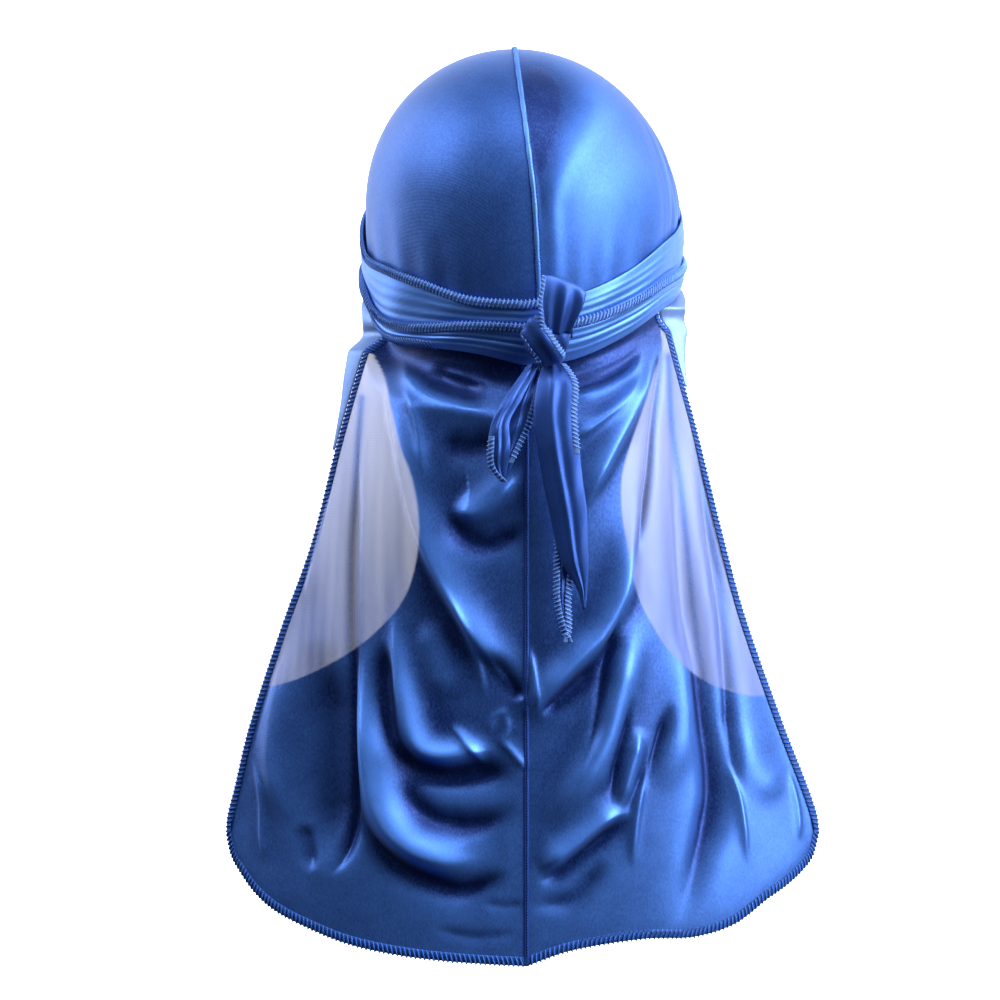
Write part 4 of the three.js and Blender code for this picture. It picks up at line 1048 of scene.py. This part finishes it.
def flap_seam():
    """Turned seam down the middle of the flap, with a row of stitches."""
    below = -left_grid[:, 0, 2] > float(strap_edges(0.0)[2])
    middle = (0.5 * (left_grid[:, 0] + right_grid[:, 0]))[below]
    out = unit(0.5 * (grid_normals(left_grid)[:, 0] + grid_normals(right_grid)[:, 0]))[below]
    right = np.array([1.0, 0.0, 0.0])
    grid = np.stack([middle + right * a + out * (0.25 + b) for a, b in FLAP_SEAM_PROFILE], axis=1)
    under = np.stack([middle + right * a + out * 0.1 for a, _ in FLAP_SEAM_PROFILE], axis=1)
    piece = wall_object("flap_middle_seam", grid, under, flap_seam_satin)
    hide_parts("flap_seam")
    at = resample(middle, 1.4)
    place, up = along(middle, at), along(out, at)
    paths = np.stack([
        place[1:-1] + up[1:-1] * lift + np.array([0.45, 0.0, rise])
        for lift, rise in ((0.7, -0.5), (0.85, 0.0), (0.7, 0.5))
    ], axis=1)
    points, faces = tube_mesh(paths, 0.22)
    stitches = new_object("flap_seam_stitches", points, faces, hem_thread)
    point_values(stitches, "yarn", np.full(len(points), SEAM_STITCH_YARN))


flap_seam()


# Cloth that leaves the straps at the side of the head and runs into the hem lower down
GUSSET_TURN = 110.0
GUSSET_END_LEFT = 207.0
GUSSET_END_RIGHT = 175.0
GUSSET_FLARE = 9.0
GUSSET_FORWARD = 6.0
GUSSET_COLUMNS = ("row", "left", "right")
GUSSET_ROWS = (
    (0, 0.3, 0.35),
    (1, 0.3, 0.45),
    (2, 0.3, 0.55),
    (3, 0.4, 0.7),
    (4, 0.78, 1.05),
    (5, 1.25, 1.5),
    (6, 0.87, 1.2),
    (7, 0.66, 0.8),
    (8, 0.4, 0.5),
    (9, 0.23, 0.27),
    (10, 0.1, 0.1),
)
GUSSET_STRAP_ROWS = 5
GUSSET_HEM_ROWS = 6


def gusset(name, side, grid, end, replaced):
    hem_turn = FLAP_TURN_LEFT if side < 0 else FLAP_TURN_RIGHT
    row = np.linspace(0.0, GUSSET_STRAP_ROWS + GUSSET_HEM_ROWS - 1, 80)
    degrees = mix(GUSSET_TURN, hem_turn, np.minimum(row / GUSSET_STRAP_ROWS, 1.0))
    turn = side * np.radians(degrees)
    top = strap_edges(turn)[2] + 0.9
    share_down = np.clip((row - GUSSET_STRAP_ROWS) / (GUSSET_HEM_ROWS - 1), 0.0, 1.0)
    depth = mix(top, end, share_down)
    hem = grid[:, -1]
    beside_hem = np.stack([np.interp(depth, -hem[:, 2], hem[:, k]) for k in range(3)], -1)
    on_strap = on_head(turn, depth, FLAP_OUTSIDE)
    start = mix(on_strap, beside_hem, smooth(row - GUSSET_STRAP_ROWS + 1.0)[:, None])
    outward = np.stack([side * np.cos(turn), side * np.sin(turn), np.zeros(len(row))], -1)
    start = start + 0.6 * outward
    flare = column(GUSSET_COLUMNS, GUSSET_ROWS, "left" if side < 0 else "right")(row)
    across = np.linspace(0.0, 1.0, 14)
    reach = np.array([side * GUSSET_FLARE, GUSSET_FORWARD, 0.0]) * flare[:, None]
    facing = np.stack([np.sin(turn), -np.cos(turn), np.zeros(len(row))], -1)
    curl = (0.9 * flare)[:, None, None] * facing[:, None] * np.sin(across * math.pi)[None, :, None]
    inner = start[:, None] + reach[:, None] * across[None, :, None] + curl
    outer = inner + CLOTH * facing[:, None]
    piece = wall_object(name, outer, inner, side_satin)
    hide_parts(replaced)
    declare_cloth(outer)


gusset("left_gusset", -1, left_grid, GUSSET_END_LEFT, "left_side_gusset")
gusset("right_gusset", 1, right_grid, GUSSET_END_RIGHT, "right_side_gusset")

# Knot and strap ends
KNOT_TURN = math.radians(9.5)
KNOT_DEPTH = 150.0
KNOT_SHIFT = -3.0
KNOT_HALF_WIDTH = 12.0
KNOT_HALF_DEPTH = 9.5
KNOT_HALF_HEIGHT = 13.0
STRAPS_OUTSIDE = 6.5
WRAP_TILT = math.radians(52)
WRAP_LEAN = math.radians(-20)
WRAP_HALF_ANGLE = math.radians(32)
LOOP_HEIGHT = 17.0
LOOP_HALF_WIDTH = 12.0
LOOP_BULGE = 9.0
LOOP_HEM_COLUMNS = 5
LONG_TAIL_DROP = 120.0
LONG_TAIL_HALF_WIDTH = 11.0
LONG_END_DROP = 52.0
LONG_END_HALF_WIDTH = 5.0
SHORT_TAIL_DROP = 58.0
SHORT_TAIL_HALF_WIDTH = 8.0
TAIL_HANG = 12.0
TAIL_BOW_SHARE = 0.25
TAIL_PLEATED_HALF_WIDTH = 6.0
TAIL_STEPS = 90
LONG_END_START = 0.7

knot_seat = on_head(KNOT_TURN, KNOT_DEPTH, STRAPS_OUTSIDE + 0.3) + np.array([KNOT_SHIFT, 0.0, 0.0])


def near_knot(turn, depth):
    return on_head(KNOT_TURN + turn, KNOT_DEPTH + depth, STRAPS_OUTSIDE)


knot_up = unit(near_knot(0.0, -1.0) - near_knot(0.0, 1.0))
knot_right = unit(near_knot(0.01, 0.0) - near_knot(-0.01, 0.0))
knot_out = unit(np.cross(knot_right, knot_up))


def knot_point(right, up, out):
    right, up, out = np.broadcast_arrays(right, up, out)
    return knot_seat + right[..., None] * knot_right + up[..., None] * knot_up + out[..., None] * knot_out


def make_knot_core():
    around = np.linspace(0.0, 2 * math.pi, 72, endpoint=False)[None, :]
    down = np.linspace(0.0, math.pi, 44)[:, None]
    pleats = 0.05 * np.sin(around * 5 + down * 2) + 0.03 * np.sin(around * 9 - down * 3)
    swell = 1.0 - 0.05 + pleats * np.sin(down)
    grid = knot_point(
        KNOT_HALF_WIDTH * swell * np.sin(down) * np.sin(around),
        KNOT_HALF_HEIGHT * swell * np.cos(down) * np.ones(around.shape),
        KNOT_HALF_DEPTH * (1 + swell * np.sin(down) * np.cos(around)),
    )
    faces = grid_faces(44, 72, 0, ring=True)
    piece = new_object("knot_middle", grid, faces, knot_satin_painted_darker)
    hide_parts("knot_core")


def make_knot_wrap():
    lean = (WRAP_LEAN + np.linspace(-WRAP_HALF_ANGLE, WRAP_HALF_ANGLE, 30))[:, None]
    swing = np.radians(np.linspace(18, 148, 60))[None, :]
    pleat = 0.5 * np.sin(np.linspace(0, 3.5 * math.pi, 30))[:, None] + 0.25 * np.sin(swing * 6)
    bulge = 0.9 * np.sin(np.linspace(0, math.pi, 30))[:, None]

    def shell(extra):
        along_wrap = np.cos(lean) * np.cos(swing)
        cross = np.sin(lean) * np.ones(swing.shape)
        out = np.cos(lean) * np.sin(swing)
        return knot_point(
            (KNOT_HALF_WIDTH + extra) * (-along_wrap * math.cos(WRAP_TILT) + cross * math.sin(WRAP_TILT)),
            (KNOT_HALF_HEIGHT + extra) * (along_wrap * math.sin(WRAP_TILT) + cross * math.cos(WRAP_TILT)),
            KNOT_HALF_DEPTH + (KNOT_HALF_DEPTH + extra) * out,
        )

    outer = shell(1.2 + bulge + pleat)
    piece = wall_object("knot_band", outer, shell(np.full(pleat.shape, 0.3)), knot_satin_painted_darker)
    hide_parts("knot_wrap")
    declare_cloth(outer)
    for name, row, row_in in (("knot_band_upper_hem", -1, -5), ("knot_band_lower_hem", 0, 4)):
        out = np.broadcast_to(knot_out, outer[row].shape)
        overlock(name, outer[row], outer[row_in] - outer[row], out, KNOT_HEM)


def make_knot_loop():
    """Strap end that stands up from the knot, folded over and open at its right side."""
    swing = np.linspace(0.0, 1.06 * math.pi, 70)[:, None]
    across = np.linspace(-1.0, 1.0, 40)[None, :]
    high = np.clip(np.sin(swing), 0.0, 1.0)
    behind = (1 - np.cos(swing)) / 2
    half = mix(7.5, LOOP_HALF_WIDTH - 1.0, smooth(high * 1.5))
    pleat = (0.8 * np.sin(across * 5 + 1) + 0.5 * np.sin(across * 9)) * (1 - high**3)
    hollow = -1.6 * (1 - across**2) * high * (1 - behind)
    slope = (4.0 * across + 2.0 * across**4) * high**2

    def shell(extra):
        return knot_point(
            2.5 + 2.5 * high + 3.0 * behind + half * across,
            4.0 + (LOOP_HEIGHT + 8.0) * np.sin(swing) - slope + extra * high,
            KNOT_HALF_DEPTH + 3.5 + (LOOP_BULGE * 0.55 + extra) * np.cos(swing) + hollow + pleat,
        )

    outer = shell(0.5)
    piece = wall_object("knot_top_loop", outer, shell(-0.2), knot_satin_painted_darker)
    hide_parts("knot_loop")
    declare_cloth(outer)
    edge = outer[:, 0]
    facing = np.broadcast_to(knot_out, edge.shape)
    overlock("knot_top_loop_hem", edge, outer[:, LOOP_HEM_COLUMNS] - edge, facing, LOOP_HEM)


make_knot_core()
make_knot_wrap()
make_knot_loop()

TAIL_COLUMNS = ("down", "centre", "half", "out")
LONG_TAIL_ROWS = (
    (0.0, 0.4, 0.5, 0.0),
    (0.08, 0.5, 0.9, 0.5),
    (0.22, 0.4, 0.95, 0.9),
    (0.45, 0.7, 0.9, 1.0),
    (0.62, 1.0, 0.82, 1.0),
    (0.8, 1.25, 0.62, 1.0),
    (0.92, 1.6, 0.22, 1.0),
    (1.0, 1.68, 0.06, 1.0),
)
LONG_END_ROWS = (
    (0.0, 1.9, 1.0, 1.0),
    (0.3, 1.75, 0.95, 1.0),
    (0.6, 1.6, 0.8, 1.08),
    (0.85, 1.9, 0.55, 1.16),
    (1.0, 2.1, 0.1, 1.18),
)
SHORT_TAIL_ROWS = (
    (0.0, -0.7, 0.35, 0.0),
    (0.3, -2.0, 0.55, 0.6),
    (0.5, -2.75, 0.55, 0.9),
    (0.7, -2.85, 0.68, 1.0),
    (0.88, -2.9, 0.55, 0.9),
    (1.0, -2.6, 0.12, 0.8),
)
SHORT_END_ROWS = (
    (0.0, -0.3, 0.3, 0.0),
    (0.3, -1.2, 0.75, 0.55),
    (0.55, -1.75, 0.75, 0.7),
    (0.8, -2.3, 0.45, 0.75),
    (1.0, -2.6, 0.15, 0.75),
)
tail_top = knot_point(0.0, -KNOT_HALF_HEIGHT - 0.3, KNOT_HALF_DEPTH)


def make_tail(name, rows, drop, half_width, top, layer, replaced, hems):
    down = np.linspace(0.0, 1.0, TAIL_STEPS)[:, None]
    across = np.linspace(-1.0, 1.0, 26)[None, :]
    centre, half, out = (column(TAIL_COLUMNS, rows, key)(down) for key in TAIL_COLUMNS[1:])
    bow = TAIL_BOW_SHARE * half_width * half * (1 - across**2)
    crease = 0.7 * hump(across, 0.3 * down - 0.25, 0.16) - 0.5 * hump(across, 0.2, 0.2)
    ripple = 0.3 * np.sin(down * 26 + across * 2.5) * (1 - across**2)
    relief = (crease + ripple) * np.minimum(half * half_width / TAIL_PLEATED_HALF_WIDTH, 1)
    x = top[0] + half_width * (centre + across * half)
    y = top[1] - TAIL_HANG * out - bow + layer - relief
    z = top[2] - drop * down + 0 * across
    inner = np.stack([x, y, z], -1)
    outer = inner + np.array([0.0, -CLOTH, 0.0])
    piece = wall_object(name, outer, inner, knot_satin_painted_darker)
    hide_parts(replaced)
    declare_cloth(outer)
    for suffix, col, col_in, first, last in hems:
        rows_used = slice(int(first * (TAIL_STEPS - 1)), int(last * (TAIL_STEPS - 1)) + 1)
        edge = outer[rows_used, col]
        facing = np.broadcast_to(np.array([0.0, -1.0, 0.0]), edge.shape)
        into = outer[rows_used, col_in] - edge
        overlock(f"{name}_{suffix}", edge, into, facing, TAIL_HEM)


# Each hem: its name, its column, the column inside it, and the shares of the length it covers
LEFT_HEM = ("left_hem", 0, 5, 0.0, 1.0)
RIGHT_HEM = ("right_hem", -1, -6, 0.0, 1.0)
UPPER_RIGHT_HEM = ("upper_right_hem", -1, -6, 0.0, 0.38)
TIP_HEM = ("tip_hem", 0, 5, 0.62, 1.0)
INNER_HEM = ("inner_hem", -1, -6, 0.05, 0.85)
long_end_top = tail_top - np.array([0.0, 0.0, LONG_END_START * LONG_TAIL_DROP])
# Each strap end: name, rows, drop, half width, top, how far in front, its node and its hems
STRAP_ENDS = (
    (
        "long_end_front", LONG_TAIL_ROWS, LONG_TAIL_DROP, LONG_TAIL_HALF_WIDTH,
        tail_top, 0.0, "long_tail_front", (UPPER_RIGHT_HEM,),
    ),
    (
        "long_end_back", LONG_END_ROWS, LONG_END_DROP, LONG_END_HALF_WIDTH,
        long_end_top, 3.2, "long_tail_back", (LEFT_HEM, RIGHT_HEM),
    ),
    (
        "short_end_front", SHORT_TAIL_ROWS, SHORT_TAIL_DROP, SHORT_TAIL_HALF_WIDTH,
        tail_top, 0.0, "short_tail_front", (TIP_HEM,),
    ),
    (
        "short_end_back", SHORT_END_ROWS, SHORT_TAIL_DROP, SHORT_TAIL_HALF_WIDTH,
        tail_top, 2.6, "short_tail_back", (INNER_HEM,),
    ),
)
for strap_end in STRAP_ENDS:
    make_tail(*strap_end)


# Stage
FLOOR_DEPTH = 0.62
SWEEP_START = 1.0
SWEEP_RADIUS = 0.8
SWEEP_HEIGHT = 3.5
STAGE_HALF_WIDTH = 4.0


def stage_piece(name, profile, strength, lights_things):
    """A plain white surface, wide along X, from a profile of (y, z) in metres."""
    material = bpy.data.materials.new(name)
    material.use_nodes = True
    shader = material.node_tree.nodes["Principled BSDF"]
    shader.inputs["Base Color"].default_value = (0.9, 0.9, 0.9, 1.0)
    shader.inputs["Roughness"].default_value = 0.8
    shader.inputs["Emission Color"].default_value = (1.0, 1.0, 1.0, 1.0)
    shader.inputs["Emission Strength"].default_value = strength
    points = [(side * STAGE_HALF_WIDTH, y, z) for y, z in profile for side in (-1, 1)]
    faces = [(2 * k, 2 * k + 1, 2 * k + 3, 2 * k + 2) for k in range(len(profile) - 1)]
    mesh = bpy.data.meshes.new(name)
    mesh.from_pydata(points, [], faces)
    mesh.materials.append(material)
    surface = bpy.data.objects.new(name, mesh)
    bpy.context.collection.objects.link(surface)
    surface.visible_diffuse = lights_things
    surface.visible_glossy = lights_things
    surface.visible_shadow = False


def make_stage():
    floor = [(-3.0, -FLOOR_DEPTH), (SWEEP_START, -FLOOR_DEPTH)]
    bend = [math.radians(a) for a in range(0, 91, 10)]
    sweep = [
        (SWEEP_START + SWEEP_RADIUS * math.sin(a), -FLOOR_DEPTH + SWEEP_RADIUS * (1 - math.cos(a)))
        for a in bend
    ]
    wall = [(SWEEP_START + SWEEP_RADIUS, SWEEP_HEIGHT)]
    stage_piece("floor", floor, 1.0, False)
    stage_piece("backdrop", sweep + wall, 1.0, True)


MIDDLE = (0.0, 0.0, -0.22)
# Lights that point at MIDDLE: name, place, width and height in metres, and power in watts
LIGHTS = (
    ("key_right", (1.4, -0.78, 0.5), 1.2, 1.5, 62.0),
    ("side_right", (1.3, 0.25, 0.8), 0.6, 0.9, 14.0),
    ("side_left", (-1.25, 0.7, 0.35), 0.6, 1.3, 10.0),
    ("fill_left", (-1.45, -0.3, 1.0), 1.0, 1.2, 26.0),
    ("top_front", (0.1, -0.9, 1.5), 1.2, 0.5, 15.0),
)


def area_light(name, place, width, height, power):
    data = bpy.data.lights.new(name, "AREA")
    data.shape = "RECTANGLE"
    data.size = width
    data.size_y = height
    data.energy = power
    light = bpy.data.objects.new(name, data)
    light.location = place
    light.rotation_euler = (Vector(MIDDLE) - Vector(place)).to_track_quat("-Z", "Y").to_euler()
    bpy.context.collection.objects.link(light)


def make_world():
    world = bpy.data.worlds.new("studio")
    world.use_nodes = True
    background = world.node_tree.nodes["Background"]
    background.inputs["Color"].default_value = (0.8, 0.88, 1.0, 1.0)
    background.inputs["Strength"].default_value = 0.06
    bpy.context.scene.world = world


make_stage()
make_world()
for light in LIGHTS:
    area_light(*light)
bpy.context.scene.view_settings.view_transform = "Standard"
